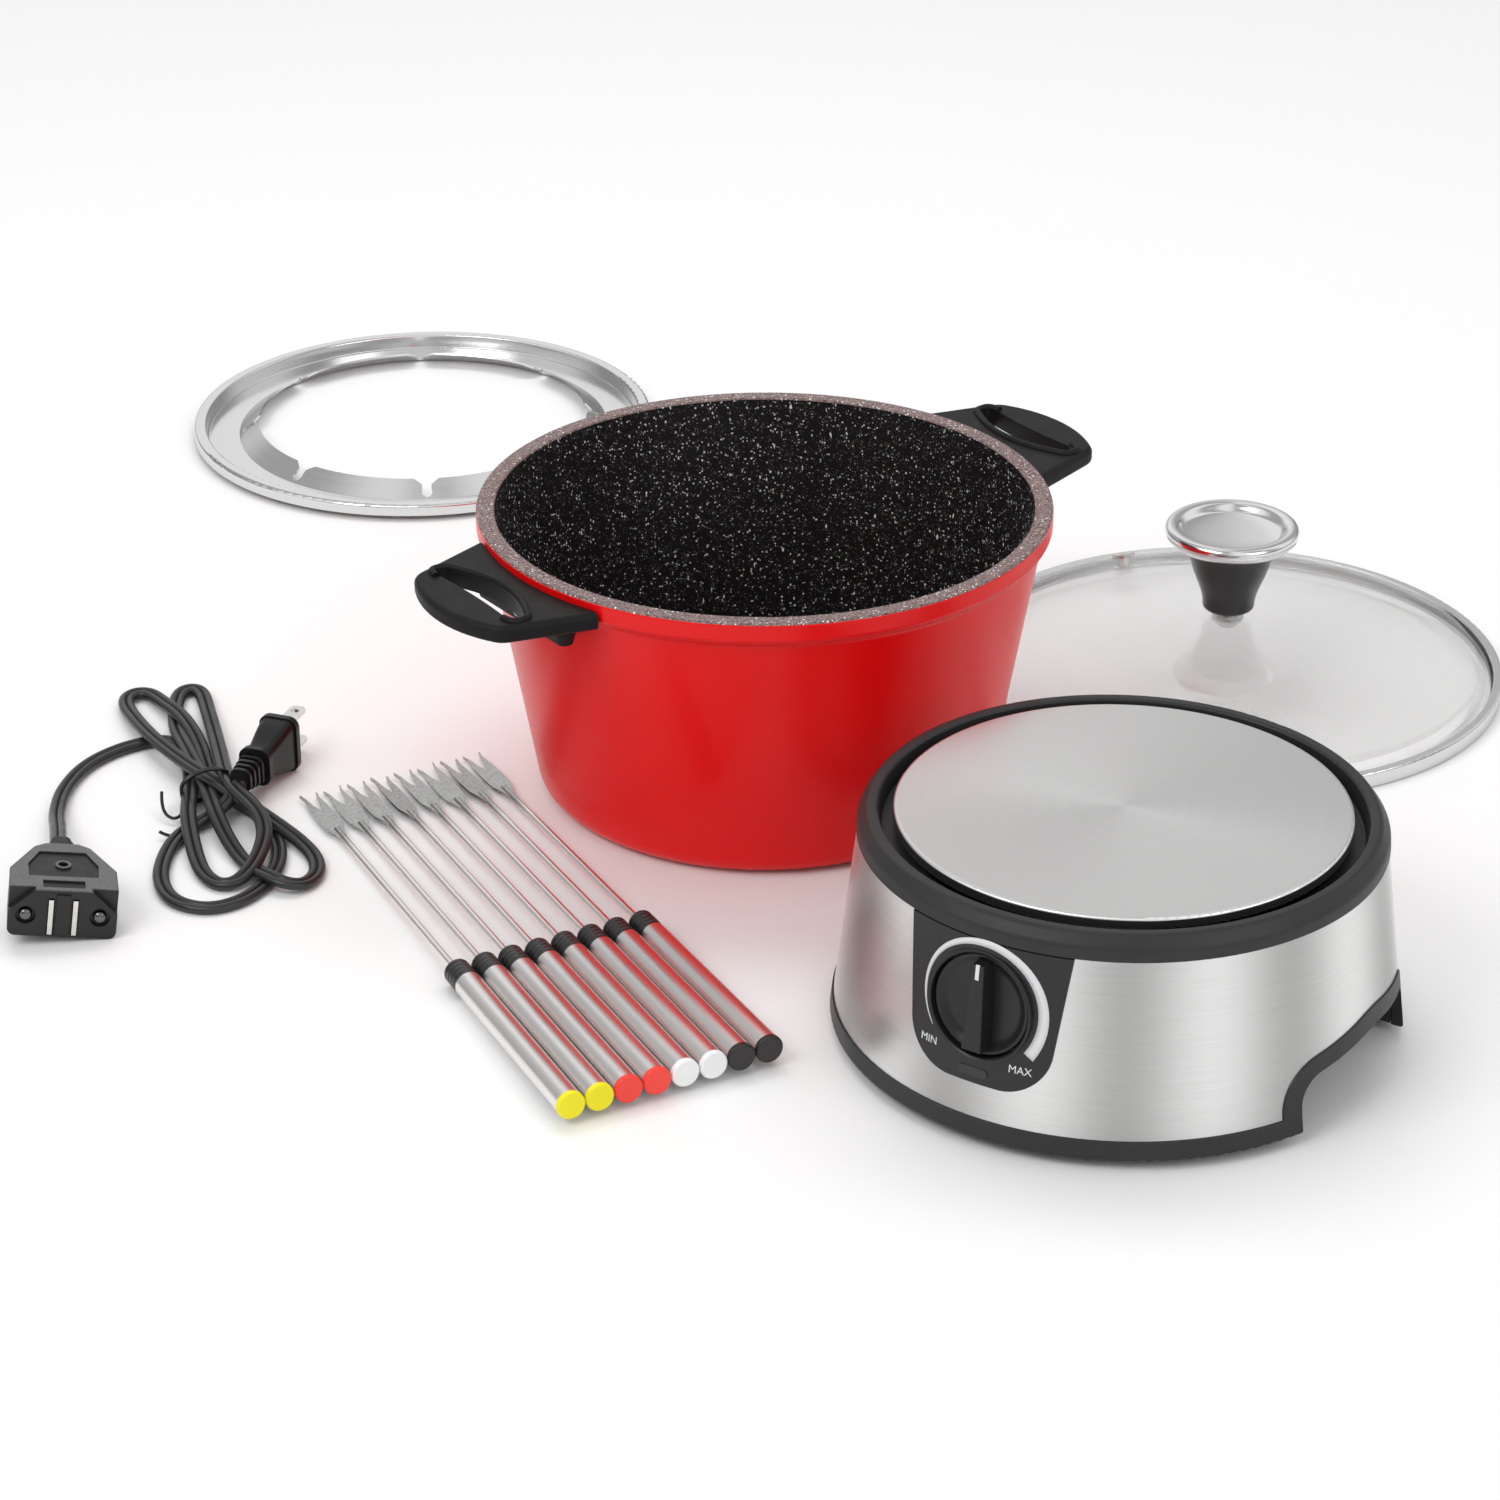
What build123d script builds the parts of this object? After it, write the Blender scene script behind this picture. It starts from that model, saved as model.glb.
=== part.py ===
from build123d import *
import os
from math import asin, cos, degrees, pi, radians, sin, tan

# Electric fondue set laid out on a table: pot, lid, fork ring, heater base, eight forks and a
# cord set. Millimetres, +Z up, table at z = 0. The origin is on the pot's axis, at its underside.

# ---------------------------------------------------------------- places on the table
pot_centre = (0.0, 0.0)
base_centre = (122.4, -190.8)
lid_centre = (189.5, 84.8)
ring_centre = (-157.9, 348.6)
connector_front = (-257.4, -135.5)
plug_start = (-203.0, -31.0)

# ---------------------------------------------------------------- pot
rim_radius = 110.0
rim_height = 115.2
rim_width = 7.0
lip_height = 7.2
wall_radius_low = 87.8          # the outer wall's line, carried down to z = 0
wall_flare = 0.1774             # outward per millimetre of height
floor_thickness = 4.5
inner_floor_radius = 84.6
handle_azimuth = 36.0
handle_top = 112.0
handle_thickness = 7.0
handle_root = 104.0
handle_tip = 147.5
lug_height = 101.6
lug_radius = 4.4
lug_reach = 109.0
screw_seat = 111.5
boss_depth = 8.6

# ---------------------------------------------------------------- lid
lid_radius = 112.5
band_height = 6.4
band_sheet = 0.8
band_lip = 3.6
dome_crown = 30.2
dome_edge_radius = 103.0
dome_edge_height = 10.2
glass_thickness = 4.2
vent_radius = 94.0
vent_azimuth = 112.0
stem_height = 27.2
cap_radius = 27.2

# ---------------------------------------------------------------- fork ring
ring_radius = 106.2
ring_height = 7.2
ring_sheet = 0.9
notch_count = 8
notch_first_azimuth = -85.0

# ---------------------------------------------------------------- heater base
skirt_foot_height = 10.8
skirt_top_height = 74.4
skirt_foot_radius = 99.2
skirt_top_radius = 91.4
skirt_sheet = 0.8
panel_proud = 0.6
panel_shell = 3.0
panel_azimuth = -124.0
dial_height = 51.0
dial_ring_proud = 0.35
arch_azimuth = -32.0
plate_radius = 79.2
plate_top = 84.15
plate_underside = 70.0
post_circle = 38.0
post_count = 3
shield_floor = 56.0
shield_sheet = 0.8
element_circle = 58.0
element_height = 69.0
element_radius = 4.0
foot_circle = 88.0
foot_height = 4.0
pan_floor = 2.4
socket_back = 70.0
socket_height = 13.2
contact_half_gap = 4.4
magnet_half_gap = 13.4

# ---------------------------------------------------------------- forks
fork_count = 8
first_fork_end = (-66.5, -261.0)
fork_end_step = (9.6, 5.15)
first_fork_tip = (-178.0, -22.7)
fork_tip_step = (9.0, 4.3)
sleeve_radius = 5.05
sleeve_start = 2.2
sleeve_end = 94.0
ferrule_end = 106.0
fork_length = 263.0
shaft_radius = 1.35
head_start = 222.0
tine_height = 1.6
head_turns = (0.0, 10.0, 0.0, -8.0, 0.0, 12.0, -6.0, 4.0)   # degrees about each fork's own axis

# ---------------------------------------------------------------- cord set
cord_width = 6.4
connector_azimuth = 99.5        # direction from the contact face back to the cord
connector_roll = 8.5            # the stiff cord holds its left side off the table
connector_half = 19.7
connector_height = 19.2
connector_length = 46.0
connector_edge_radius = 3.0
contact_height = 8.6
neck_height = 13.4
plug_azimuth = 69.6
plug_height = 11.6              # height of the plug's axis, lying on its narrow side
plug_body_length = 38.0
blade_half_gap = 6.35
cord_route = (
    (-264.0, -90.0, 15.9),
    (-267.4, -68.0, 10.6),
    (-272.6, -43.0, 4.8),
    (-273.6, -18.0, 3.3),
    (-267.0, 4.5, 3.3),
    (-252.0, 20.5, 3.3),
    (-236.6, 25.0, 3.6),
)

os.makedirs("parts", exist_ok=True)


# ---------------------------------------------------------------- helpers
def upright(centre, azimuth=0.0):
    """Vertical plane through a round piece's axis: local x is radius, local y is height."""
    out = (cos(radians(azimuth)), sin(radians(azimuth)), 0)
    across = (sin(radians(azimuth)), -cos(radians(azimuth)), 0)
    return Plane(origin=(centre[0], centre[1], 0), x_dir=out, z_dir=across)


def axis_at(centre):
    return Axis((centre[0], centre[1], 0), (0, 0, 1))


def level(centre, height, azimuth=0.0):
    """Horizontal plane above a piece's centre, its local x turned to the azimuth."""
    out = (cos(radians(azimuth)), sin(radians(azimuth)), 0)
    return Plane(origin=(centre[0], centre[1], height), x_dir=out, z_dir=(0, 0, 1))


def facing_out(centre, azimuth, radius, height=0.0, tilt=0.0):
    """Plane seen from outside a round piece: local x is tangential, local y is up."""
    out = Vector(cos(radians(azimuth)), sin(radians(azimuth)), 0)
    normal = out * cos(radians(tilt)) + Vector(0, 0, sin(radians(tilt)))
    across = (-sin(radians(azimuth)), cos(radians(azimuth)), 0)
    place = Vector(centre[0], centre[1], height) + out * radius
    return Plane(origin=place, x_dir=across, z_dir=normal)


def outline(plane, points, radii=0.0):
    """Closed outline on a plane, each corner rounded by its own radius."""
    with BuildSketch(plane) as shape:
        with BuildLine():
            FilletPolyline(*points, radius=radii, close=True)
        make_face()
    return shape.sketch


def mirrored(points):
    """Outline points for x above zero, followed by the same points on the other side."""
    return list(points) + [(-x, y) for x, y in reversed(points)]


def save(piece, name):
    piece.part.label = name
    export_step(piece.part, f"parts/{name}.step")


# ---------------------------------------------------------------- pot body
def wall_radius(height):
    return wall_radius_low + wall_flare * height


lip_foot = rim_height - lip_height
handle_azimuths = (handle_azimuth, handle_azimuth + 180.0)

with BuildPart() as pot_body:
    pot_points = [
        (0, 0),
        (wall_radius_low, 0),
        (wall_radius(lip_foot - 3.5), lip_foot - 3.5),
        (rim_radius, lip_foot),
        (rim_radius, rim_height),
        (rim_radius - rim_width, rim_height),
        (inner_floor_radius, floor_thickness),
        (0, floor_thickness),
    ]
    revolve(outline(upright(pot_centre), pot_points, [0, 9, 2, 2, 1.2, 0.8, 12, 0]), axis=axis_at(pot_centre))
    for azimuth in handle_azimuths:
        lug_end = facing_out(pot_centre, azimuth, lug_reach, lug_height)
        with BuildSketch(lug_end):
            Circle(lug_radius)
        extrude(amount=-(lug_reach - wall_radius(lug_height) + 1.5))
        with BuildSketch(lug_end):
            Circle(2.0)
        extrude(amount=-7.0, mode=Mode.SUBTRACT)
save(pot_body, "pot_body")


# ---------------------------------------------------------------- side handles
def side_handle(azimuth):
    """Flat moulded grip with a finger slot, and a block below it that hugs the pot wall."""
    top = level(pot_centre, handle_top, azimuth)
    underside = handle_top - handle_thickness
    with BuildPart() as handle:
        with BuildSketch(top):
            with BuildLine():
                Polyline((139, -29.5), (handle_root, -40), (handle_root, 40), (139, 29.5))
                ThreePointArc((139, 29.5), (handle_tip, 0), (139, -29.5))
            make_face()
            fillet(vertices().group_by(Axis.X)[-1], radius=9)
        extrude(amount=-handle_thickness)
        rounded = edges().filter_by(lambda e: abs(e.center().Z - handle_top) < 0.01)
        chosen = rounded + edges().filter_by(lambda e: abs(e.center().Z - underside) < 0.01)
        fillet(chosen.filter_by(lambda e: top.to_local_coords(e.center()).X > handle_root + 1), radius=2.4)
        with BuildSketch(level(pot_centre, underside, azimuth)):
            with Locations((handle_root + 5.4, 0)):
                RectangleRounded(10.8, 62, 5)
        extrude(amount=-boss_depth, taper=16)
        with BuildSketch(top):
            with BuildLine():
                ThreePointArc((126.5, -25.2), (119.2, 0), (126.5, 25.2))
                ThreePointArc((126.5, 25.2), (130.2, 26.8), (132.6, 23.5))
                ThreePointArc((132.6, 23.5), (131.5, 0), (132.6, -23.5))
                ThreePointArc((132.6, -23.5), (130.2, -26.8), (126.5, -25.2))
            make_face()
        extrude(amount=-20, mode=Mode.SUBTRACT)
        bead_points = [(133.8, 22.5), (132.6, 28.4), (126.0, 28.0), (113.6, 0)]
        bead_points += [(x, -y) for x, y in reversed(bead_points[:3])]
        with BuildLine(top) as bead_path:
            FilletPolyline(*bead_points, radius=[3, 3, 50, 3, 3])
        with BuildSketch(Plane(origin=bead_path.line @ 0, z_dir=bead_path.line % 0)):
            Circle(1.5)
        sweep(path=bead_path.line)
        clear_pot = [
            (0, 60),
            (wall_radius(60) + 0.15, 60),
            (wall_radius(lip_foot - 3.6) + 0.15, lip_foot - 3.6),
            (rim_radius + 0.15, lip_foot - 0.1),
            (rim_radius + 0.15, rim_height + 5),
            (0, rim_height + 5),
        ]
        revolve(outline(upright(pot_centre), clear_pot), axis=axis_at(pot_centre), mode=Mode.SUBTRACT)
        with BuildSketch(facing_out(pot_centre, azimuth, lug_reach, lug_height)):
            Circle(lug_radius + 0.05)
        extrude(amount=-12, mode=Mode.SUBTRACT)
        with BuildSketch(facing_out(pot_centre, azimuth, lug_reach, lug_height)):
            Circle(2.2)
        extrude(amount=screw_seat - lug_reach, mode=Mode.SUBTRACT)
        with BuildSketch(facing_out(pot_centre, azimuth, screw_seat, lug_height)):
            Circle(3.4)
        extrude(amount=10, mode=Mode.SUBTRACT)
    return handle


for azimuth, side in zip(handle_azimuths, ("back", "front")):
    save(side_handle(azimuth), f"handle_{side}")

with BuildPart() as handle_screws:
    for azimuth in handle_azimuths:
        seat = facing_out(pot_centre, azimuth, screw_seat, lug_height)
        with BuildSketch(seat):
            Circle(3.1)
        extrude(amount=2.0)
        with BuildSketch(seat.offset(2.0)):
            Rectangle(4.2, 0.9)
            Rectangle(0.9, 4.2)
        extrude(amount=-1.1, mode=Mode.SUBTRACT)
        with BuildSketch(seat):
            Circle(2.0)
        extrude(amount=-9.0)
save(handle_screws, "handle_screws")

# ---------------------------------------------------------------- lid
lid_axis = axis_at(lid_centre)
dome_rise = dome_crown - dome_edge_height
dome_radius = (dome_edge_radius**2 + dome_rise**2) / (2 * dome_rise)


def dome_height(radius):
    return dome_crown - dome_radius + (dome_radius**2 - radius**2) ** 0.5


vent_lean = asin(vent_radius / dome_radius)
vent_out = Vector(cos(radians(vent_azimuth)), sin(radians(vent_azimuth)), 0)
vent_normal = vent_out * sin(vent_lean) + Vector(0, 0, cos(vent_lean))
vent_point = Vector(*lid_centre, dome_height(vent_radius)) + vent_out * vent_radius
vent_across = Vector(0, 0, 1).cross(vent_out)
half_way = dome_edge_radius / 2
glass_edge_top = band_height - band_sheet
glass_edge_foot = glass_edge_top - glass_thickness
glass_edge_radius = lid_radius - band_sheet
with BuildPart() as lid_glass:
    with BuildSketch(upright(lid_centre)):
        with BuildLine():
            crown_top = ThreePointArc(
                (0, dome_crown),
                (half_way, dome_height(half_way)),
                (dome_edge_radius, dome_edge_height),
            )
            Polyline(
                crown_top @ 1,
                (105.9, glass_edge_top),
                (glass_edge_radius, glass_edge_top),
                (glass_edge_radius, glass_edge_foot),
                (105.5, glass_edge_foot),
                (dome_edge_radius - 1.5, dome_edge_height - glass_thickness),
            )
            ThreePointArc(
                (dome_edge_radius - 1.5, dome_edge_height - glass_thickness),
                (half_way, dome_height(half_way) - glass_thickness),
                (0, dome_crown - glass_thickness),
            )
            Line((0, dome_crown - glass_thickness), (0, dome_crown))
        make_face()
    revolve(axis=lid_axis)
    with BuildSketch(level(lid_centre, 0)):
        Circle(2.6)
    extrude(amount=40, mode=Mode.SUBTRACT)
    with BuildSketch(Plane(origin=vent_point, x_dir=vent_across, z_dir=vent_normal)):
        Circle(3.0)
    extrude(amount=10, both=True, mode=Mode.SUBTRACT)
save(lid_glass, "lid_glass")

with BuildPart() as lid_band:
    band_points = [
        (lid_radius, 0),
        (lid_radius, band_height),
        (lid_radius - band_lip, band_height),
        (lid_radius - band_lip, glass_edge_top),
        (glass_edge_radius, glass_edge_top),
        (glass_edge_radius, glass_edge_foot),
        (lid_radius - 4.5, glass_edge_foot),
        (lid_radius - 4.5, glass_edge_foot - band_sheet),
        (glass_edge_radius, glass_edge_foot - band_sheet),
        (glass_edge_radius, 0),
    ]
    revolve(outline(upright(lid_centre), band_points, [0.3, 0.7, 0.3, 0, 0, 0, 0.2, 0.2, 0, 0]), axis=lid_axis)
save(lid_band, "lid_band")

stem_foot = dome_crown
stem_top = stem_foot + stem_height
with BuildPart() as lid_knob_stem:
    with BuildSketch(upright(lid_centre)):
        with BuildLine():
            Line((0, stem_foot), (9.4, stem_foot))
            ThreePointArc((9.4, stem_foot), (10.2, stem_foot + 0.6), (10.6, stem_foot + 1.6))
            Spline(
                (10.6, stem_foot + 1.6),
                (11.3, stem_foot + 6.5),
                (14.4, stem_foot + 15.0),
                (18.4, stem_top),
                tangents=((0, 1), (0.35, 1)),
            )
            Polyline((18.4, stem_top), (0, stem_top), (0, stem_foot))
        make_face()
    revolve(axis=lid_axis)
    with BuildSketch(level(lid_centre, stem_foot)):
        Circle(2.5)
    extrude(amount=18, mode=Mode.SUBTRACT)
save(lid_knob_stem, "lid_knob_stem")

with BuildPart() as lid_knob_cap:
    with BuildSketch(upright(lid_centre)):
        with BuildLine():
            Line((0, stem_top), (18.6, stem_top))
            Spline(
                (18.6, stem_top),
                (24.0, stem_top + 2.5),
                (cap_radius, stem_top + 6.8),
                tangents=((1, 0.1), (0.1, 1)),
            )
            ThreePointArc((cap_radius, stem_top + 6.8), (26.3, stem_top + 8.9), (24.2, stem_top + 9.5))
            Spline(
                (24.2, stem_top + 9.5),
                (21.6, stem_top + 8.5),
                (19.4, stem_top + 6.2),
                tangents=((-1, 0), (-1, -0.5)),
            )
            Spline(
                (19.4, stem_top + 6.2),
                (10.0, stem_top + 4.9),
                (0, stem_top + 4.5),
                tangents=((-1, -0.25), (-1, 0)),
            )
            Line((0, stem_top + 4.5), (0, stem_top))
        make_face()
    revolve(axis=lid_axis)
save(lid_knob_cap, "lid_knob_cap")

glass_under_crown = dome_height(6.5) - glass_thickness - 0.02
with BuildPart() as lid_screw:
    with BuildSketch(level(lid_centre, glass_under_crown)):
        Circle(6.5)
    extrude(amount=-1.2)
    with BuildSketch(level(lid_centre, glass_under_crown - 1.2)):
        Circle(4.4)
    extrude(amount=-2.4, taper=10)
    with BuildSketch(level(lid_centre, glass_under_crown - 3.6)):
        Rectangle(6.0, 1.1)
    extrude(amount=1.4, mode=Mode.SUBTRACT)
    with BuildSketch(level(lid_centre, glass_under_crown)):
        Circle(2.5)
    extrude(amount=21)
save(lid_screw, "lid_screw")

with BuildPart() as vent_eyelet:
    eyelet_points = [
        (1.7, -5.3),
        (4.6, -5.3),
        (4.6, -4.6),
        (2.9, -4.6),
        (2.9, 0.1),
        (5.0, 0.1),
        (5.0, 0.9),
        (1.7, 0.9),
    ]
    eyelet_plane = Plane(origin=vent_point, x_dir=vent_across, z_dir=vent_across.cross(vent_normal))
    eyelet_axis = Axis(vent_point, vent_normal)
    revolve(outline(eyelet_plane, eyelet_points, [0, 0.3, 0, 0, 0, 0, 0.4, 0.5]), axis=eyelet_axis)
save(vent_eyelet, "vent_eyelet")

# ---------------------------------------------------------------- fork ring
with BuildPart() as fork_ring:
    lip_under = ring_height - ring_sheet
    ring_points = [
        (ring_radius, 2.2),
        (ring_radius, ring_height),
        (100.6, ring_height),
        (100.0, ring_sheet),
        (85.7, ring_sheet),
        (76.4, 7.4),
        (75.9, 6.6),
        (85.4, 0),
        (100.9, 0),
        (101.5, lip_under),
        (ring_radius - ring_sheet, lip_under),
        (ring_radius - ring_sheet, 2.2),
    ]
    ring_radii = [0, 1.4, 1.0, 0.6, 1.2, 0, 0, 1.8, 1.4, 0.4, 0.7, 0]
    between_notches = notch_first_azimuth + 180 / notch_count
    revolve(outline(upright(ring_centre, between_notches), ring_points, ring_radii), axis=axis_at(ring_centre))
    with BuildSketch(level(ring_centre, -1)):
        with PolarLocations(75.5, notch_count, start_angle=notch_first_azimuth):
            Polygon((-2, -7.4), (0, -6.6), (3.2, -2.3), (3.2, 2.3), (0, 6.6), (-2, 7.4), align=None)
        with PolarLocations(79.5, notch_count, start_angle=notch_first_azimuth):
            Rectangle(5.0, 4.2)
        with PolarLocations(82.0, notch_count, start_angle=notch_first_azimuth):
            Circle(2.4)
    extrude(amount=ring_height + 4, mode=Mode.SUBTRACT)
save(fork_ring, "fork_ring")

# ---------------------------------------------------------------- heater base: shell
base_axis = axis_at(base_centre)
skirt_slope = (skirt_foot_radius - skirt_top_radius) / (skirt_top_height - skirt_foot_height)
skirt_tilt = degrees(skirt_slope)


def skirt_radius(height):
    return skirt_foot_radius - skirt_slope * (height - skirt_foot_height)


def cone_band(low, high, outside, inside):
    """Section of a conical band that follows the skirt, between two offsets from its face."""
    return [
        (skirt_radius(low) + outside, low),
        (skirt_radius(high) + outside, high),
        (skirt_radius(high) + inside, high),
        (skirt_radius(low) + inside, low),
    ]


dial_radius = skirt_radius(dial_height) + panel_proud
dial_plane = facing_out(base_centre, panel_azimuth, dial_radius, dial_height, skirt_tilt)
panel_points = mirrored([(30.8, 24.5), (25.6, -28.0)])
panel_radii = [0, 18, 18, 0]


def arch_outline(plane, grow=0.0):
    """Arched cut-out over the power inlet, open at the table; grow widens it all round."""
    points = mirrored([(41.2 + grow, -12), (40.2 + grow, 22.3 + grow * 0.75)])
    points = [*points[:2], (0, 27.6 + grow), *points[2:]]
    return outline(plane, points, [0, 11 + grow, 50, 11 + grow, 0])


arch_plane = facing_out(base_centre, arch_azimuth, 60.0)
trim_width = 6.8

with BuildPart() as base_skirt:
    skirt_points = cone_band(skirt_foot_height, skirt_top_height, 0, -skirt_sheet)
    revolve(outline(upright(base_centre, 90), skirt_points), axis=base_axis)
    extrude(outline(dial_plane, panel_points, panel_radii), amount=30, both=True, mode=Mode.SUBTRACT)
    extrude(arch_outline(arch_plane, trim_width), amount=60, mode=Mode.SUBTRACT)
save(base_skirt, "base_skirt")

with BuildPart() as top_collar:
    collar_points = [
        (skirt_top_radius + 0.5, skirt_top_height),
        (skirt_top_radius + 0.2, 79.0),
        (88.4, 83.4),
        (84.4, 83.3),
        (83.4, 76.0),
        (76.0, 76.0),
        (76.0, 73.0),
        (88.0, 73.0),
        (88.0, 71.4),
        (90.4, 71.4),
        (90.4, skirt_top_height),
    ]
    revolve(
        outline(upright(base_centre, 90), collar_points, [0.6, 3.4, 2.2, 1.0, 1.0, 0, 0, 0, 0, 0, 0]),
        axis=base_axis,
    )
save(top_collar, "top_collar")

trim_foot = 3.4
with BuildPart() as bottom_trim:
    arch_band = cone_band(8.0, 44.0, panel_proud, -2.6)
    revolve(outline(upright(base_centre, 90), arch_band), axis=base_axis)
    extrude(arch_outline(arch_plane, trim_width), amount=60, mode=Mode.INTERSECT)
    foot_points = [
        (skirt_radius(trim_foot) + panel_proud, trim_foot),
        (skirt_radius(skirt_foot_height) + panel_proud, skirt_foot_height),
        (skirt_radius(skirt_foot_height) - skirt_sheet, skirt_foot_height),
        (skirt_radius(14) - skirt_sheet, 14),
        (96.4, 14),
        (96.4, trim_foot),
    ]
    revolve(outline(upright(base_centre, 90), foot_points, [1.2, 0.5, 0, 0, 0, 0]), axis=base_axis)
    extrude(arch_outline(arch_plane), amount=60, mode=Mode.SUBTRACT)
save(bottom_trim, "bottom_trim")

with BuildPart() as control_panel:
    panel_band = cone_band(20, skirt_top_height - 0.1, panel_proud, panel_proud - panel_shell)
    panel_band[2] = (skirt_radius(71.0) + panel_proud - panel_shell, 71.0)
    panel_band[2:2] = [(skirt_top_radius - 0.7, skirt_top_height - 0.1), (skirt_radius(71.0) - 0.7, 71.0)]
    revolve(outline(upright(base_centre, 90), panel_band), axis=base_axis)
    extrude(outline(dial_plane, panel_points, panel_radii), amount=15, both=True, mode=Mode.INTERSECT)
    with BuildSketch(dial_plane.offset(dial_ring_proud)):
        Circle(19.8)
    extrude(amount=-7.5 - dial_ring_proud)
    with BuildSketch(dial_plane.offset(-5.5)):
        Circle(18.6)
    extrude(amount=5.0 + dial_ring_proud, mode=Mode.SUBTRACT)
    with BuildSketch(dial_plane.offset(dial_ring_proud - 0.5)):
        Circle(18.6)
    with BuildSketch(dial_plane.offset(dial_ring_proud)):
        Circle(19.2)
    loft(mode=Mode.SUBTRACT)
    with BuildSketch(dial_plane.offset(-9)):
        Circle(3.4)
    extrude(amount=9, mode=Mode.SUBTRACT)
    with BuildSketch(dial_plane.offset(-6)):
        with Locations((0, -23.9)):
            SlotOverall(11.4, 3.4)
    extrude(amount=12, mode=Mode.SUBTRACT)
save(control_panel, "control_panel")

with BuildPart() as indicator_light:
    with BuildSketch(dial_plane.offset(-3.0)):
        with Locations((0, -23.9)):
            SlotOverall(11.3, 3.3)
    extrude(amount=3.2)
    with BuildSketch(dial_plane.offset(-3.3)):
        with Locations((0, -23.9)):
            Circle(2.5)
    extrude(amount=-9)
save(indicator_light, "indicator_light")

# ---------------------------------------------------------------- heater base: dial
with BuildPart() as knob:
    dish_plane = Plane(origin=dial_plane.origin, x_dir=dial_plane.x_dir, z_dir=dial_plane.y_dir * -1)
    dish_points = [(0, -5.2), (17.9, -5.2), (17.9, -1.7), (16.7, -1.7), (14.2, -3.4), (0, -3.8)]
    dish = outline(dish_plane, dish_points, [0, 0, 0.5, 0.5, 4.0, 0])
    revolve(dish, axis=Axis(dial_plane.origin, dial_plane.z_dir))
    with BuildSketch(dial_plane.offset(-4.4)):
        with BuildLine():
            FilletPolyline(
                (-4.6, -16.4), (4.6, -16.4), (3.0, 16.4), (-3.0, 16.4), radius=[1.2, 1.2, 1.0, 1.0], close=True
            )
        make_face()
    extrude(amount=7.4, taper=7)
    fillet(faces().sort_by(Axis(dial_plane.origin, dial_plane.z_dir))[-1].edges(), radius=0.5)
    with BuildSketch(dial_plane.offset(-5.2)):
        Circle(2.98)
    extrude(amount=1.8, mode=Mode.SUBTRACT)
save(knob, "knob")

with BuildPart() as thermostat_shaft:
    with BuildSketch(dial_plane.offset(-3.4)):
        Circle(2.98)
    extrude(amount=-15.6)
save(thermostat_shaft, "thermostat_shaft")

with BuildPart() as thermostat_body:
    with BuildSketch(dial_plane.offset(-7.7)):
        RectangleRounded(26, 20, 2)
    extrude(amount=-14.5)
    with BuildSketch(dial_plane.offset(-7.7)):
        Circle(3.04)
    extrude(amount=-12, mode=Mode.SUBTRACT)
    with BuildSketch(dial_plane.offset(-19)):
        with Locations((-7, -10), (7, -10)):
            Rectangle(0.8, 16)
    extrude(amount=6.3)
save(thermostat_body, "thermostat_body")

# ---------------------------------------------------------------- heater base: hot plate
lug_tip = shield_floor + shield_sheet
with BuildPart() as heating_plate:
    plate_points = [
        (0, plate_underside),
        (72, plate_underside),
        (72, 79.8),
        (plate_radius, 79.8),
        (plate_radius, plate_top),
        (0, plate_top),
    ]
    revolve(outline(upright(base_centre), plate_points, [0, 1, 0, 0.8, 1.2, 0]), axis=base_axis)
    with BuildSketch(level(base_centre, plate_underside)):
        with PolarLocations(post_circle, post_count, start_angle=90):
            Circle(5)
    extrude(amount=lug_tip - plate_underside)
    with BuildSketch(level(base_centre, lug_tip)):
        with PolarLocations(post_circle, post_count, start_angle=90):
            Circle(1.6)
    extrude(amount=11, mode=Mode.SUBTRACT)
    with BuildSketch(upright(base_centre)):
        with Locations((element_circle, element_height)):
            Circle(element_radius)
    revolve(axis=base_axis, mode=Mode.SUBTRACT)
save(heating_plate, "heating_plate")

element_gap = 40.0
element_start = arch_azimuth + 180 + element_gap / 2
terminal_drop = 22.0
with BuildPart() as heating_element:
    with BuildSketch(upright(base_centre, element_start)):
        with Locations((element_circle, element_height)):
            Circle(element_radius - 0.02)
    revolve(axis=base_axis, revolution_arc=360 - element_gap)
    for azimuth in (element_start + 3, element_start - element_gap - 3):
        with BuildSketch(level(base_centre, element_height - 2, azimuth)):
            with Locations((element_circle, 0)):
                Circle(2.4)
        extrude(amount=-terminal_drop)
save(heating_element, "heating_element")

with BuildPart() as heat_shield:
    shield_points = [
        (0, shield_floor),
        (70, shield_floor),
        (71, 67),
        (70.2, 67),
        (69.2, lug_tip),
        (0, lug_tip),
    ]
    revolve(outline(upright(base_centre), shield_points, [0, 2.4, 0, 0, 1.6, 0]), axis=base_axis)
    with BuildSketch(level(base_centre, shield_floor - 1)):
        with PolarLocations(post_circle, post_count, start_angle=90):
            Circle(1.9)
    extrude(amount=3, mode=Mode.SUBTRACT)
    for azimuth in (element_start + 3, element_start - element_gap - 3):
        with BuildSketch(level(base_centre, shield_floor - 1, azimuth)):
            with Locations((element_circle, 0)):
                Circle(4.2)
        extrude(amount=3, mode=Mode.SUBTRACT)
save(heat_shield, "heat_shield")

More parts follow.
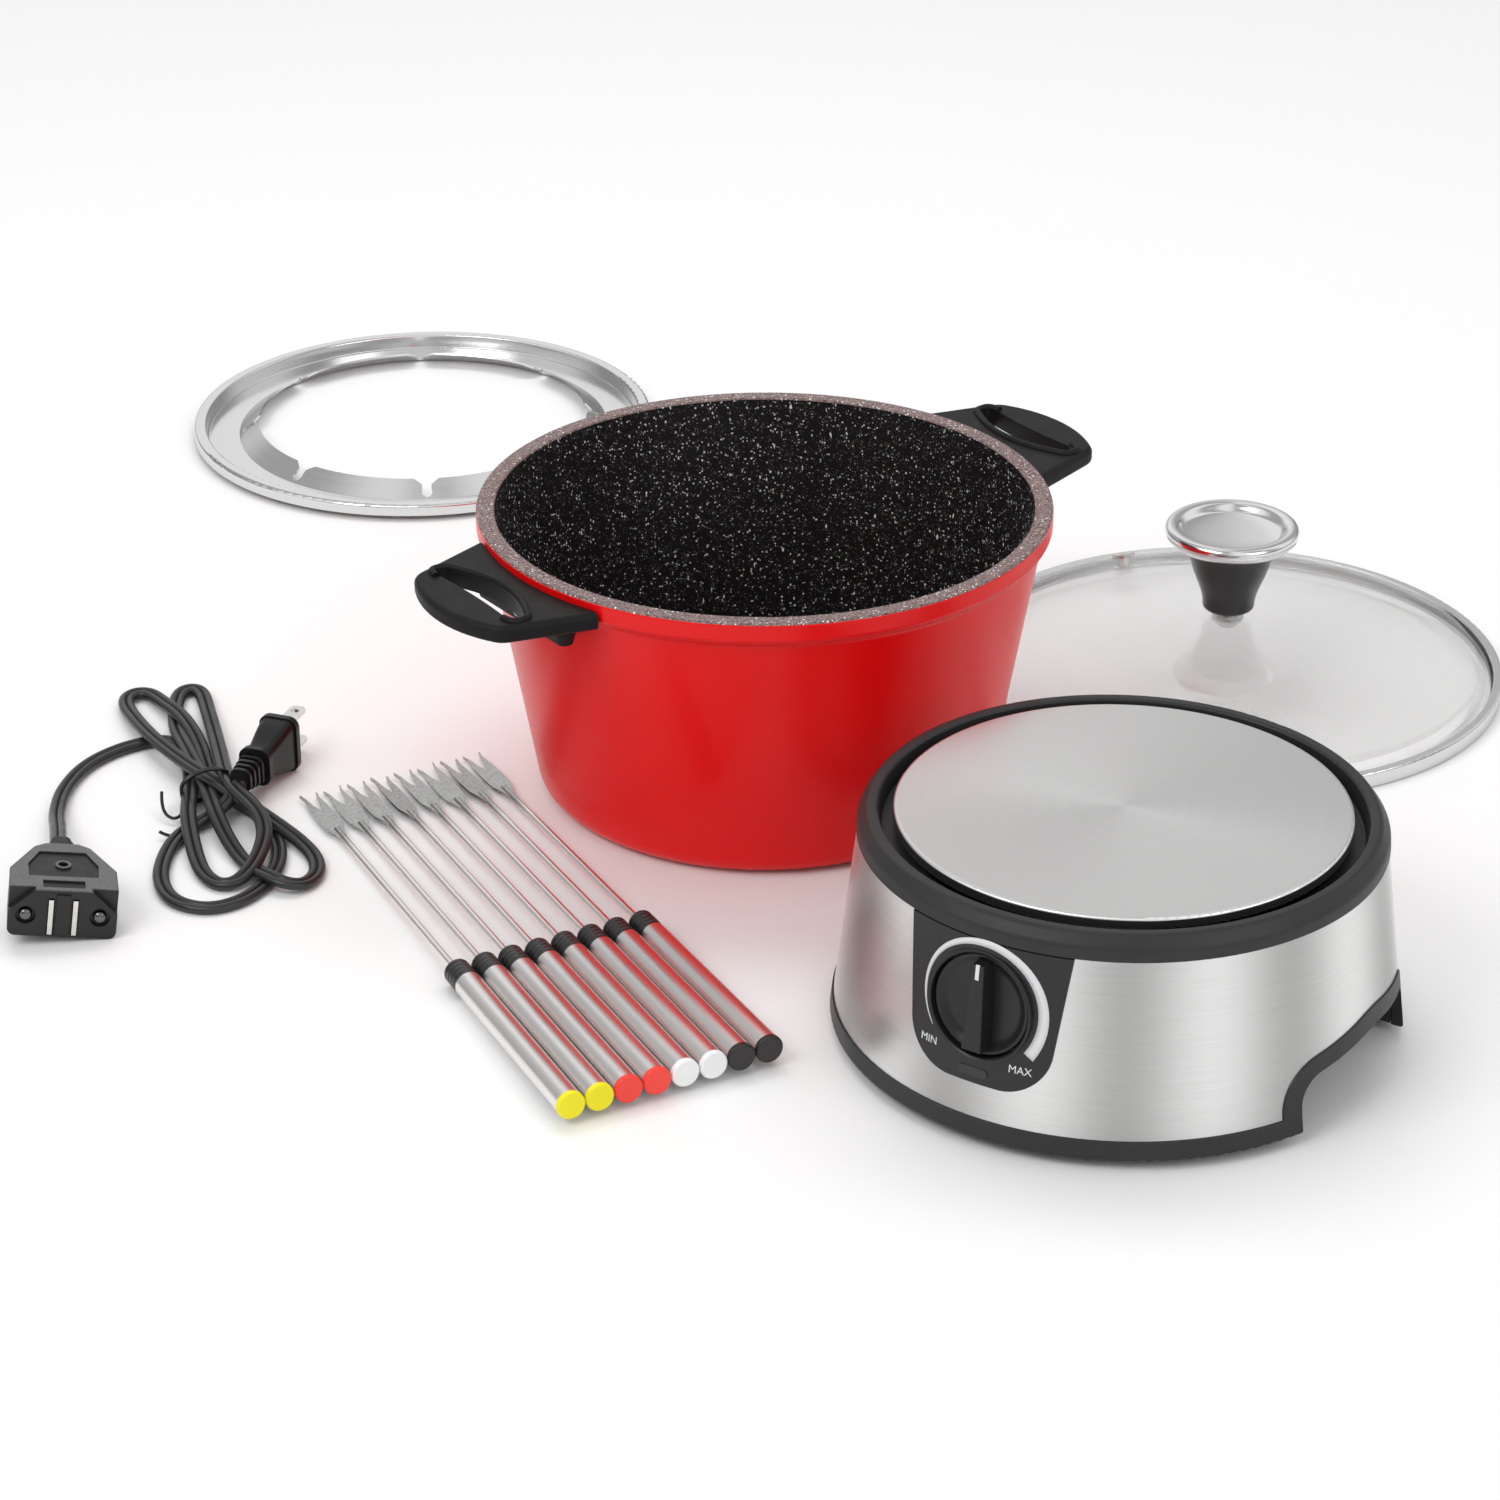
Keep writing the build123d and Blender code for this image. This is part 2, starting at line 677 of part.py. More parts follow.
# ---------------------------------------------------------------- heater base: pan, feet, screws
pan_top = foot_height + pan_floor
foot_angles = [arch_azimuth - 45 + 90 * k for k in range(4)]
with BuildPart() as base_pan:
    pan_points = [(0, foot_height), (96.2, foot_height), (96.2, 12), (94.4, 12), (94.4, pan_top), (0, pan_top)]
    behind = arch_azimuth + 180
    revolve(outline(upright(base_centre, behind), pan_points), axis=base_axis)
    with BuildSketch(level(base_centre, pan_top)):
        with PolarLocations(post_circle, post_count, start_angle=90):
            Circle(5.6)
    extrude(amount=shield_floor - pan_top)
    with BuildSketch(level(base_centre, pan_top)):
        with PolarLocations(foot_circle, 4, start_angle=foot_angles[0]):
            Circle(4.2)
    extrude(amount=6)
    with BuildSketch(level(base_centre, foot_height)):
        with PolarLocations(post_circle, post_count, start_angle=90):
            Circle(4.3)
    extrude(amount=8, mode=Mode.SUBTRACT)
    with BuildSketch(level(base_centre, foot_height)):
        with PolarLocations(post_circle, post_count, start_angle=90):
            Circle(1.9)
        with PolarLocations(foot_circle, 4, start_angle=foot_angles[0]):
            Circle(1.5)
    extrude(amount=shield_floor, mode=Mode.SUBTRACT)
    with BuildSketch(level(base_centre, foot_height - 1, arch_azimuth)):
        with Locations((socket_back + 14.5, 0)):
            Rectangle(46, 90)
    extrude(amount=30, mode=Mode.SUBTRACT)
save(base_pan, "base_pan")

with BuildPart() as feet:
    with BuildSketch(level(base_centre, 0)):
        with PolarLocations(foot_circle, 4, start_angle=foot_angles[0]):
            Circle(7)
    extrude(amount=foot_height)
    fillet(edges().filter_by(GeomType.CIRCLE).group_by(Axis.Z)[0], radius=0.8)
    with BuildSketch(level(base_centre, 0)):
        with PolarLocations(foot_circle, 4, start_angle=foot_angles[0]):
            Circle(3.6)
    extrude(amount=2.2, mode=Mode.SUBTRACT)
    with BuildSketch(level(base_centre, 0)):
        with PolarLocations(foot_circle, 4, start_angle=foot_angles[0]):
            Circle(1.6)
    extrude(amount=foot_height, mode=Mode.SUBTRACT)
save(feet, "feet")

with BuildPart() as base_screws:
    with BuildSketch(level(base_centre, 0.7)):
        with PolarLocations(foot_circle, 4, start_angle=foot_angles[0]):
            Circle(3.2)
    extrude(amount=1.5)
    with BuildSketch(level(base_centre, 2.2)):
        with PolarLocations(foot_circle, 4, start_angle=foot_angles[0]):
            Circle(1.5)
    extrude(amount=9)
    with BuildSketch(level(base_centre, 9.6)):
        with PolarLocations(post_circle, post_count, start_angle=90):
            Circle(3.8)
    extrude(amount=2.4)
    with BuildSketch(level(base_centre, 12)):
        with PolarLocations(post_circle, post_count, start_angle=90):
            Circle(1.6)
    extrude(amount=54)
save(base_screws, "base_screws")

# ---------------------------------------------------------------- heater base: power inlet
socket_wall = 2.2
pocket_depth = 4.0
socket_play = 1.2
pocket_floor = socket_back + socket_wall - pocket_depth
socket_face = facing_out(base_centre, arch_azimuth, pocket_floor, socket_height)
with BuildPart() as inlet_socket:
    extrude(arch_outline(facing_out(base_centre, arch_azimuth, socket_back), socket_wall), amount=40)
    socket_inside = facing_out(base_centre, arch_azimuth, socket_back + socket_wall)
    extrude(arch_outline(socket_inside), amount=40, mode=Mode.SUBTRACT)
    with BuildSketch(facing_out(base_centre, arch_azimuth, socket_back, socket_height)):
        Rectangle(50, 22)
    extrude(amount=-8)
    with BuildSketch(socket_face):
        with Locations((0, connector_height / 2 - contact_height)):
            RectangleRounded(2 * connector_half + socket_play, connector_height + socket_play, 2.6)
    extrude(amount=8, mode=Mode.SUBTRACT)
    with BuildSketch(socket_face):
        with Locations((-magnet_half_gap, 0), (magnet_half_gap, 0)):
            Circle(3.4)
        with Locations((-contact_half_gap, 0), (contact_half_gap, 0)):
            Rectangle(2.0, 13.0)
    extrude(amount=-3, mode=Mode.SUBTRACT)
    inside_trim = [(0, trim_foot + 0.4), (96.2, trim_foot + 0.4), (96.2, 14), (skirt_radius(14) - 2.7, 14)]
    inside_trim += [(skirt_radius(40) - 2.7, 40), (0, 40)]
    revolve(outline(upright(base_centre, 90), inside_trim), axis=base_axis, mode=Mode.INTERSECT)
save(inlet_socket, "inlet_socket")

with BuildPart() as inlet_contacts:
    with BuildSketch(socket_face.offset(-3)):
        with Locations((-contact_half_gap, 0), (contact_half_gap, 0)):
            Rectangle(2.0, 13.0)
    extrude(amount=4.5)
    with BuildSketch(socket_face.offset(-3)):
        with Locations((-contact_half_gap, 0), (contact_half_gap, 0)):
            Rectangle(1.6, 5.0)
save(inlet_contacts, "inlet_contacts")

with BuildPart() as inlet_keepers:
    with BuildSketch(socket_face.offset(-3)):
        with Locations((-magnet_half_gap, 0), (magnet_half_gap, 0)):
            Circle(3.4)
    extrude(amount=3)
save(inlet_keepers, "inlet_keepers")


# ---------------------------------------------------------------- fondue forks
def fork_end(k):
    return Vector(first_fork_end[0] + k * fork_end_step[0], first_fork_end[1] + k * fork_end_step[1], 0)


def fork_tip(k):
    return Vector(first_fork_tip[0] + k * fork_tip_step[0], first_fork_tip[1] + k * fork_tip_step[1], 0)


fork_slope = (sleeve_radius - tine_height) / (fork_length - ferrule_end)
fork_end_height = sleeve_radius + ferrule_end * fork_slope


def fork_plane(k, turn=0.0):
    """Plane with local x along the fork from its coloured end, turned about that line."""
    flat = (fork_tip(k) - fork_end(k)).normalized()
    along = (flat - Vector(0, 0, fork_slope)).normalized()
    across = Vector(0, 0, 1).cross(flat)
    up = along.cross(across)
    face = up * cos(radians(turn)) + across * sin(radians(turn))
    return Plane(origin=fork_end(k) + Vector(0, 0, fork_end_height), x_dir=along, z_dir=face)


def fork_cap(plane):
    """Coloured end disc, with a plug inside the steel sleeve."""
    points = [(0, 0), (0, 5.2), (sleeve_start, 5.2), (sleeve_start, 4.4), (9, 4.4), (9, 0)]
    with BuildPart() as piece:
        revolve(outline(plane, points, [0, 0.9, 0.3, 0, 0.3, 0]), axis=Axis(plane.origin, plane.x_dir))
    return piece


def fork_ferrule(plane):
    """Ribbed collar where the shaft enters the sleeve, with a plug inside the sleeve."""
    rib_start = sleeve_end + 1.4
    rib_pitch = 2.5
    points = [(84, shaft_radius), (84, 4.4), (sleeve_end, 4.4), (sleeve_end, 5.0)]
    for rib in range(4):
        start = rib_start + rib * rib_pitch
        points += [(start, 5.0), (start + 0.35, 4.5), (start + 0.75, 4.5), (start + 1.1, 5.0)]
    points += [(ferrule_end - 1.0, 5.0), (ferrule_end, 4.0), (ferrule_end, shaft_radius)]
    with BuildPart() as piece:
        revolve(outline(plane, points), axis=Axis(plane.origin, plane.x_dir))
    return piece


def fork_steel(plane, head_plane):
    """Steel sleeve tube and, as a second solid, the shaft with its two-tined head."""
    sleeve = [(sleeve_start, 4.4), (sleeve_start, sleeve_radius), (sleeve_end, sleeve_radius), (sleeve_end, 4.4)]
    half_head = [
        (1.2, head_start),
        (2.0, head_start + 4.5),
        (3.7, head_start + 10),
        (4.1, head_start + 18),
        (3.8, head_start + 29),
        (3.1, head_start + 36.5),
        (3.7, fork_length - 1.2),
        (3.3, fork_length),
        (2.3, fork_length - 4.0),
        (1.5, fork_length - 11.0),
    ]
    head = [(s, t) for t, s in half_head] + [(fork_length - 16.5, 0)] + [(s, -t) for t, s in reversed(half_head)]
    with BuildPart() as piece:
        with BuildSketch(Plane(origin=plane.origin + plane.x_dir * 84, z_dir=plane.x_dir)):
            Circle(shaft_radius)
        extrude(amount=head_start + 8 - 84, taper=0.03)
        extrude(outline(head_plane, head), amount=0.5, both=True)
        revolve(outline(plane, sleeve), axis=Axis(plane.origin, plane.x_dir))
    return piece


for k in range(fork_count):
    number = k + 1
    save(fork_cap(fork_plane(k)), f"fork_{number}_cap")
    save(fork_ferrule(fork_plane(k)), f"fork_{number}_ferrule")
    save(fork_steel(fork_plane(k), fork_plane(k, head_turns[k])), f"fork_{number}_steel")

# ---------------------------------------------------------------- cord set: appliance connector
back = Vector(cos(radians(connector_azimuth)), sin(radians(connector_azimuth)), 0)
level_right = Vector(back.Y, -back.X, 0)
right = level_right * cos(radians(connector_roll)) - Vector(0, 0, sin(radians(connector_roll)))
up = level_right * sin(radians(connector_roll)) + Vector(0, 0, cos(radians(connector_roll)))
connector_lift = (connector_half - connector_edge_radius) * sin(radians(connector_roll)) + 0.1
connector_floor = Plane(origin=(*connector_front, connector_lift), x_dir=right, z_dir=up)
contact_face = Plane(origin=connector_floor.origin + up * contact_height, x_dir=right, z_dir=back * -1)
with BuildPart() as connector_shell:
    shell_points = mirrored([(connector_half, 0), (19.4, 17), (10.4, 34.0), (6.0, 37.0)])
    shell_radii = [0, 2.4, 3.0, 1.0, 1.0, 3.0, 2.4, 0]
    extrude(outline(connector_floor, shell_points, shell_radii), amount=connector_height)
    sides = faces().sort_by(Axis(connector_floor.origin, up))[0].edges()
    sides = sides.filter_by(lambda e: 9 < abs(connector_floor.to_local_coords(e.center()).X))
    fillet(sides, radius=connector_edge_radius)
    fillet(faces().sort_by(Axis(connector_floor.origin, up))[-1].edges(), radius=0.8)
    with BuildSketch(contact_face.offset(-connector_length)):
        with Locations((0, neck_height - contact_height)):
            RectangleRounded(7.8, 7.6, 2.6)
    extrude(amount=9)
    with BuildSketch(contact_face.offset(-connector_length + 4.5)):
        with Locations((0, neck_height - contact_height)):
            RectangleRounded(9.4, 9.2, 2.6)
    extrude(amount=9)
    lid_plane = connector_floor.offset(connector_height)
    with BuildSketch(lid_plane):
        with BuildLine():
            FilletPolyline(*mirrored([(12.6, 10.8), (12.8, 20.0), (8.4, 30.0)]), radius=0.8, close=True)
        make_face()
        with Locations((0, 5.0)):
            Rectangle(15.2, 5.6)
    extrude(amount=-0.8, mode=Mode.SUBTRACT)
    with BuildSketch(lid_plane.offset(-0.8)):
        with Locations((0, 20.4)):
            Circle(2.9)
    extrude(amount=0.8)
    with BuildSketch(lid_plane):
        with Locations((0, 20.4)):
            Circle(1.9)
    extrude(amount=-6.0, mode=Mode.SUBTRACT)
    for side in (-1, 1):
        corner = [(side * 21, 12), (side * 8.4, 12), (side * 21, 0.2)]
        extrude(outline(contact_face, corner), amount=-2.6, mode=Mode.SUBTRACT)
    with BuildSketch(contact_face):
        with Locations((0, 0.6)):
            Rectangle(5.0, 16.4)
    extrude(amount=0.7)
    with BuildSketch(contact_face):
        with Locations((-magnet_half_gap, 0), (magnet_half_gap, 0)):
            Circle(3.7)
        with Locations((-contact_half_gap, -0.4), (contact_half_gap, -0.4)):
            Rectangle(2.6, 15.0)
    extrude(amount=-1.6, mode=Mode.SUBTRACT)
save(connector_shell, "connector_shell")

with BuildPart() as connector_contacts:
    with BuildSketch(contact_face.offset(-1.6)):
        with Locations((-contact_half_gap, -0.4), (contact_half_gap, -0.4)):
            Rectangle(1.7, 14.2)
    extrude(amount=2.2)
save(connector_contacts, "connector_contacts")

with BuildPart() as connector_magnets:
    for side in (-1, 1):
        stud_axis = Axis(contact_face.origin + right * (side * magnet_half_gap), back * -1)
        stud_plane = Plane(origin=stud_axis.position, x_dir=right, z_dir=up * -1)
        stud_points = [(0, -1.6), (2.5, -1.6), (2.5, 1.0), (0, 1.0)]
        revolve(outline(stud_plane, stud_points, [0, 0, 2.0, 0]), axis=stud_axis)
save(connector_magnets, "connector_magnets")

# ---------------------------------------------------------------- cord set: lead
cord_radius = cord_width / 2
runs = [Vector(*end) - Vector(*start) for start, end in zip(cord_route, cord_route[1:])]
bend_radii = []
for before, after in zip(runs, runs[1:]):
    turn = radians(before.get_angle(after))
    bend_radii.append(0.45 * min(before.length, after.length) / tan(turn / 2))
print("cord bend radii, mm:", [round(radius, 1) for radius in bend_radii])
print("cord run lengths, mm:", [round(run.length, 1) for run in runs])

with BuildPart() as cord_tube:
    with BuildLine() as lead:
        FilletPolyline(*cord_route, radius=bend_radii)
    with BuildSketch(Plane(origin=lead.line @ 0, z_dir=lead.line % 0)):
        Circle(cord_radius)
    sweep(path=lead.line)
section = pi * cord_radius**2
plain_volume = section * lead.wires()[0].length
print("cord tube volume over section times length:", round(cord_tube.part.volume / plain_volume, 4))
save(cord_tube, "cord_tube")

hank_height = 12.5
hank_outline = [
    (-222, -22),
    (-238, 12),
    (-262, 50),
    (-262, 66),
    (-250, 71),
    (-226, 71),
    (-216, 54),
    (-207, 8),
    (-208, -22),
    (-203, -37),
    (-184, -47),
    (-163, -78),
    (-165, -101),
    (-182, -112),
    (-204, -122),
    (-226, -112),
    (-234, -88),
    (-228, -56),
]
with BuildPart() as cord_hank:
    extrude(outline(Plane.XY, hank_outline, 5.0), amount=hank_height)
save(cord_hank, "cord_hank")

tie_centre = (-216.5, -23.0, 6.6)
tie_wire = 0.8
tie_plane = Plane(origin=tie_centre, x_dir=(0.92, 0.39, 0), z_dir=(0.39, -0.92, 0))
with BuildPart() as twist_tie:
    with BuildLine(tie_plane) as tie_loop:
        FilletPolyline((-10.5, -5.6), (10.5, -5.6), (10.5, 5.6), (-10.5, 5.6), radius=4.4, close=True)
    with BuildSketch(Plane(origin=tie_loop.line @ 0, z_dir=tie_loop.line % 0)):
        Circle(tie_wire)
    sweep(path=tie_loop.line)
save(twist_tie, "twist_tie")

# ---------------------------------------------------------------- cord set: wall plug
plug_along = Vector(cos(radians(plug_azimuth)), sin(radians(plug_azimuth)), 0)
plug_across = Vector(sin(radians(plug_azimuth)), -cos(radians(plug_azimuth)), 0)


def plug_section(distance):
    """Cross-section plane of the plug: local x is its thickness, local y its height."""
    place = Vector(plug_start[0], plug_start[1], plug_height) + plug_along * distance
    return Plane(origin=place, x_dir=plug_across, z_dir=plug_along * -1)


with BuildPart() as plug_body:
    with BuildSketch(plug_section(0)):
        Circle(3.3)
    with BuildSketch(plug_section(14)):
        Circle(4.6)
    loft()
    for rib in range(4):
        with BuildSketch(plug_section(2.6 + 2.9 * rib)):
            RectangleRounded(8.6 + 0.6 * rib, 9.4 + 0.8 * rib, 3.0)
        extrude(amount=1.5)
    with BuildSketch(plug_section(16.0)):
        RectangleRounded(13.2, 15.6, 4.4)
    extrude(amount=2.6)
    with BuildSketch(plug_section(13.0)):
        RectangleRounded(10.4, 12.0, 2.6)
    with BuildSketch(plug_section(21.0)):
        RectangleRounded(11.4, 14.0, 3.0)
    with BuildSketch(plug_section(28.0)):
        RectangleRounded(13.2, 18.6, 3.2)
    with BuildSketch(plug_section(plug_body_length)):
        RectangleRounded(14.6, 22.0, 3.4)
    loft()
    with BuildSketch(plug_section(plug_body_length)):
        RectangleRounded(16.2, 23.0, 4.2)
    extrude(amount=3.4)
    front_edges = faces().sort_by(Axis((0, 0, 0), plug_along))[-1].edges()
    fillet(front_edges, radius=1.0)
save(plug_body, "plug_body")

blade_length = 16.6
with BuildPart() as plug_blades:
    for side in (-1, 1):
        place = plug_section(plug_body_length).origin + Vector(0, 0, side * blade_half_gap)
        blade_plane = Plane(origin=place, x_dir=plug_along, z_dir=(0, 0, 1))
        with BuildSketch(blade_plane):
            with BuildLine():
                Polyline(
                    (0, -3.15),
                    (blade_length - 1.6, -3.15),
                    (blade_length, -1.6),
                    (blade_length, 1.6),
                    (blade_length - 1.6, 3.15),
                    (0, 3.15),
                    close=True,
                )
            make_face()
            with Locations((blade_length - 4.6, 0)):
                Circle(1.6, mode=Mode.SUBTRACT)
        extrude(amount=0.75, both=True)
save(plug_blades, "plug_blades")
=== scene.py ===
import math

import bmesh
import bpy
from mathutils import Matrix, Vector


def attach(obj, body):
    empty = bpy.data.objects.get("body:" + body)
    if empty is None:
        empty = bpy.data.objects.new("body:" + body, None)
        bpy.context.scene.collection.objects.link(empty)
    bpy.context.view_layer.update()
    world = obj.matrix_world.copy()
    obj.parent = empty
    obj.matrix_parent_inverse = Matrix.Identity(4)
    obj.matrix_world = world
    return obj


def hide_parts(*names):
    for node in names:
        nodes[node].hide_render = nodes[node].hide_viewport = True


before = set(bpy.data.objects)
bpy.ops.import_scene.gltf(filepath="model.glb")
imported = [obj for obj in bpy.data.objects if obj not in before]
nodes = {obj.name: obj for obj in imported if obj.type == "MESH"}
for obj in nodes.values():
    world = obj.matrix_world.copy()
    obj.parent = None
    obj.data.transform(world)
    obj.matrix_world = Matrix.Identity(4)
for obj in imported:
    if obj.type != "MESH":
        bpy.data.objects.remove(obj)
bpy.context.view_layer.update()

MM = 0.001

# ------------------------------------------------------------------ places and sizes, in metres
POT = Vector((0.0, 0.0, 0.0))
BASE = Vector((0.1224, -0.1908, 0.0))
LID = Vector((0.1895, 0.0848, 0.0))
RING = Vector((-0.1579, 0.3486, 0.0))

POT_WALL_MIDDLE = 0.0858                        # radius of the middle of the pot's wall at the table
POT_WALL_FLARE = 0.1718                         # growth of that radius per height
POT_FLOOR = 0.002                               # a height between the pot's underside and its floor
POT_RIM = 0.1146                                # the rim's flat top starts here
POT_BARE_RADIUS = 0.0775                        # bare metal disc of the underside
POT_BARE_HEIGHT = 0.0004

SKIRT_FOOT = (0.0992, 0.0108)                   # radius and height of the skirt's lower edge
SKIRT_TOP = (0.0914, 0.0744)
# count and phase of the painted reflection bands in the skirt's base colour
SKIRT_PAINTED_REFLECTION_BANDS = 10.0
SKIRT_PAINTED_REFLECTION_PHASE = 2.19
PANEL_AZIMUTH = math.radians(-124.0)
DIAL_HEIGHT = 0.051
PANEL_PROUD = 0.0006

FORK_ALONG = (-0.424, 0.906)                    # from the caps towards the tines
FORK_HEAD_START = (0.002, 0.014)                # along the forks, from the bright shaft to the painted shade on the fork heads

CONNECTOR_FOOT = (-0.2574, -0.1355, 0.00257)    # middle of the connector's lower front edge
CONNECTOR_UP = (0.1458, 0.0244, 0.9890)         # the connector lies rolled a little
CONNECTOR_PAINTED_LIGHT = (0.0186, 0.0191)               # heights over its foot between which the painted light on the top face begins

CORD_WIDTH = 0.0064
CORD_THICK = 0.0034
CORD_GROOVE = 0.22                              # half thickness at the groove over that of a lobe
CORD_LIFT = Vector((0.0, 0.0, 0.15))            # mm, keeps the sheath just off the table
TIE_WIRE = 0.00065                              # radius

SCALE_START = -126                              # degrees clockwise from the top of the dial
SCALE_SWEEP = 251
SCALE_INNER = 0.0216
SCALE_THIN = 0.00025
SCALE_GROWTH = 0.0039
SCALE_POWER = 0.85
INK_BELOW = -0.0001
INK_ABOVE = 0.00012
WORD_EXTRUDE = 0.00008
WORD_OFFSET = -0.00001
WORD_PROUD = 0.00004
GRIP_TOP = 0.0030                               # the dial's grip over the panel
TICK = (0.0007, 0.0104, 0.0158)                 # half width, start and end of the mark on the grip
TICK_SUNK = 0.0003
TICK_PROUD = 0.0001

CAMERA_PLACE = (-0.00594, -1.465, 0.758)
CAMERA_PITCH = math.radians(62.91)
CAMERA_ROLL = math.radians(-0.233)
CAMERA_LENS = 100.58                            # mm, on a sensor 36 mm wide

SKY_RISE = 0.36                                 # sine of the height angle at which the sky is brightest
SKY_LEVELS = (0.38, 0.84)                       # strength at the horizon and above that height
SKY_PANELS = 4.0                                # bright panels round the horizon
SKY_PHASE = 0.52
SKY_PANEL_EDGE = 0.6
SKY_PANEL_SHARES = (0.52, 1.15)                 # strength between the panels and on them


# ------------------------------------------------------------------ mesh and curve helpers
def link(obj):
    bpy.context.scene.collection.objects.link(obj)
    return obj


def mesh_piece(name, verts, faces, smooth=True):
    mesh = bpy.data.meshes.new(name)
    mesh.from_pydata([tuple(v) for v in verts], [], faces)
    mesh.validate()
    bm = bmesh.new()
    bm.from_mesh(mesh)
    bmesh.ops.recalc_face_normals(bm, faces=bm.faces)
    bm.to_mesh(mesh)
    bm.free()
    mesh.polygons.foreach_set("use_smooth", [smooth] * len(mesh.polygons))
    return link(bpy.data.objects.new(name, mesh))


def nurbs(name, points):
    """Quadratic NURBS curve guided by the places given, in metres."""
    data = bpy.data.curves.new(name, "CURVE")
    data.dimensions = "3D"
    data.resolution_u = 8
    data.twist_mode = "Z_UP"
    spline = data.splines.new("NURBS")
    spline.points.add(len(points) - 1)
    for point, place in zip(spline.points, points):
        point.co = (*place, 1.0)
    spline.order_u = 3
    spline.use_endpoint_u = True
    return link(bpy.data.objects.new(name, data))


def finish_piece(obj, body, finish, replaced=()):
    """Give a piece its finish and its body, and hide the CAD nodes it stands for."""
    obj.data.materials.clear()
    obj.data.materials.append(finish)
    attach(obj, body)
    if replaced:
        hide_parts(*replaced)


# ------------------------------------------------------------------ camera
def make_camera():
    data = bpy.data.cameras.new("camera")
    data.lens = CAMERA_LENS
    data.sensor_width = 36.0
    data.clip_start = 0.05
    data.clip_end = 20.0
    camera = link(bpy.data.objects.new("camera", data))
    pitch = Matrix.Rotation(CAMERA_PITCH, 4, "X")
    roll = Matrix.Rotation(CAMERA_ROLL, 4, "Z")
    camera.matrix_world = Matrix.Translation(CAMERA_PLACE) @ pitch @ roll
    bpy.context.scene.camera = camera


make_camera()


# ------------------------------------------------------------------ shader helpers
class Shader:
    """One material, with short calls for the nodes that the finishes below use."""

    def __init__(self, name):
        self.material = bpy.data.materials.new(name)
        self.material.use_nodes = True
        self.tree = self.material.node_tree
        self.bsdf = self.tree.nodes["Principled BSDF"]
        self.place = self.node("ShaderNodeTexCoord").outputs["Object"]

    def node(self, kind, **settings):
        made = self.tree.nodes.new(kind)
        for key, value in settings.items():
            setattr(made, key, value)
        return made

    def feed(self, socket, value):
        if isinstance(value, bpy.types.NodeSocket):
            self.tree.links.new(value, socket)
        else:
            socket.default_value = value

    def math(self, operation, a, b=0.0):
        made = self.node("ShaderNodeMath", operation=operation)
        for socket, value in zip(made.inputs, (a, b)):
            self.feed(socket, value)
        return made.outputs[0]

    def scaled_sum(self, values, weights):
        """Two values, each times its weight, added up."""
        first, second = (self.math("MULTIPLY", value, weight) for value, weight in zip(values, weights))
        return self.math("ADD", first, second)

    def vector(self, operation, a, b=(0.0, 0.0, 0.0)):
        made = self.node("ShaderNodeVectorMath", operation=operation)
        self.feed(made.inputs[0], a)
        self.feed(made.inputs[1], b)
        return made.outputs["Vector"]

    def split(self, vector):
        made = self.node("ShaderNodeSeparateXYZ")
        self.feed(made.inputs[0], vector)
        return made.outputs

    def combine(self, x=0.0, y=0.0, z=0.0):
        made = self.node("ShaderNodeCombineXYZ")
        for socket, value in zip(made.inputs, (x, y, z)):
            self.feed(socket, value)
        return made.outputs[0]

    def noise(self, scale, detail=2.0, rough=0.5, where=None):
        made = self.node("ShaderNodeTexNoise")
        self.feed(made.inputs["Vector"], where or self.place)
        made.inputs["Scale"].default_value = scale
        made.inputs["Detail"].default_value = detail
        made.inputs["Roughness"].default_value = rough
        return made.outputs["Fac"]

    def remap(self, value, low, high, to_low=0.0, to_high=1.0):
        made = self.node("ShaderNodeMapRange")
        for socket, given in zip(made.inputs, (value, low, high, to_low, to_high)):
            self.feed(socket, given)
        return made.outputs[0]

    def mix(self, share, a, b):
        """Colour between a and b; the mix node's colour sockets are numbers 6 and 7, and 2 comes out."""
        made = self.node("ShaderNodeMix", data_type="RGBA")
        self.feed(made.inputs[0], share)
        for socket, colour in zip(made.inputs[6:8], (a, b)):
            self.feed(socket, colour if isinstance(colour, bpy.types.NodeSocket) else (*colour, 1.0))
        return made.outputs[2]

    def bump(self, height, strength, distance=0.0002):
        made = self.node("ShaderNodeBump")
        made.inputs["Strength"].default_value = strength
        made.inputs["Distance"].default_value = distance
        self.feed(made.inputs["Height"], height)
        return made.outputs[0]

    def set(self, **values):
        """Feed the shader's own sockets, named with _ for a space."""
        for name, value in values.items():
            self.feed(self.bsdf.inputs[name.replace("_", " ")], value)

    def round(self, centre):
        """Radius, angle, height and tangent direction about a vertical axis."""
        x, y, z = self.split(self.vector("SUBTRACT", self.place, tuple(centre)))
        squares = self.math("ADD", self.math("MULTIPLY", x, x), self.math("MULTIPLY", y, y))
        radius = self.math("SQRT", squares)
        angle = self.math("ARCTAN2", y, x)
        tangent = self.vector("NORMALIZE", self.combine(self.math("MULTIPLY", y, -1.0), x, 0.0))
        return radius, angle, z, tangent


def moulded(name, colour, rough, grain, depth, gloss=0.5):
    """Moulded plastic: fine grain in the surface and slow changes of shade and gloss."""
    s = Shader(name)
    slow = s.noise(35.0, 3.0)
    fine = s.noise(grain, 4.0, 0.6)
    light = tuple(min(1.0, c * 1.35 + 0.004) for c in colour)
    s.set(Base_Color=s.mix(slow, colour, light))
    s.set(Roughness=s.math("ADD", rough - 0.07, s.math("MULTIPLY", s.noise(90.0, 4.0), 0.14)))
    s.set(Specular_IOR_Level=gloss, Normal=s.bump(fine, depth))
    return s.material


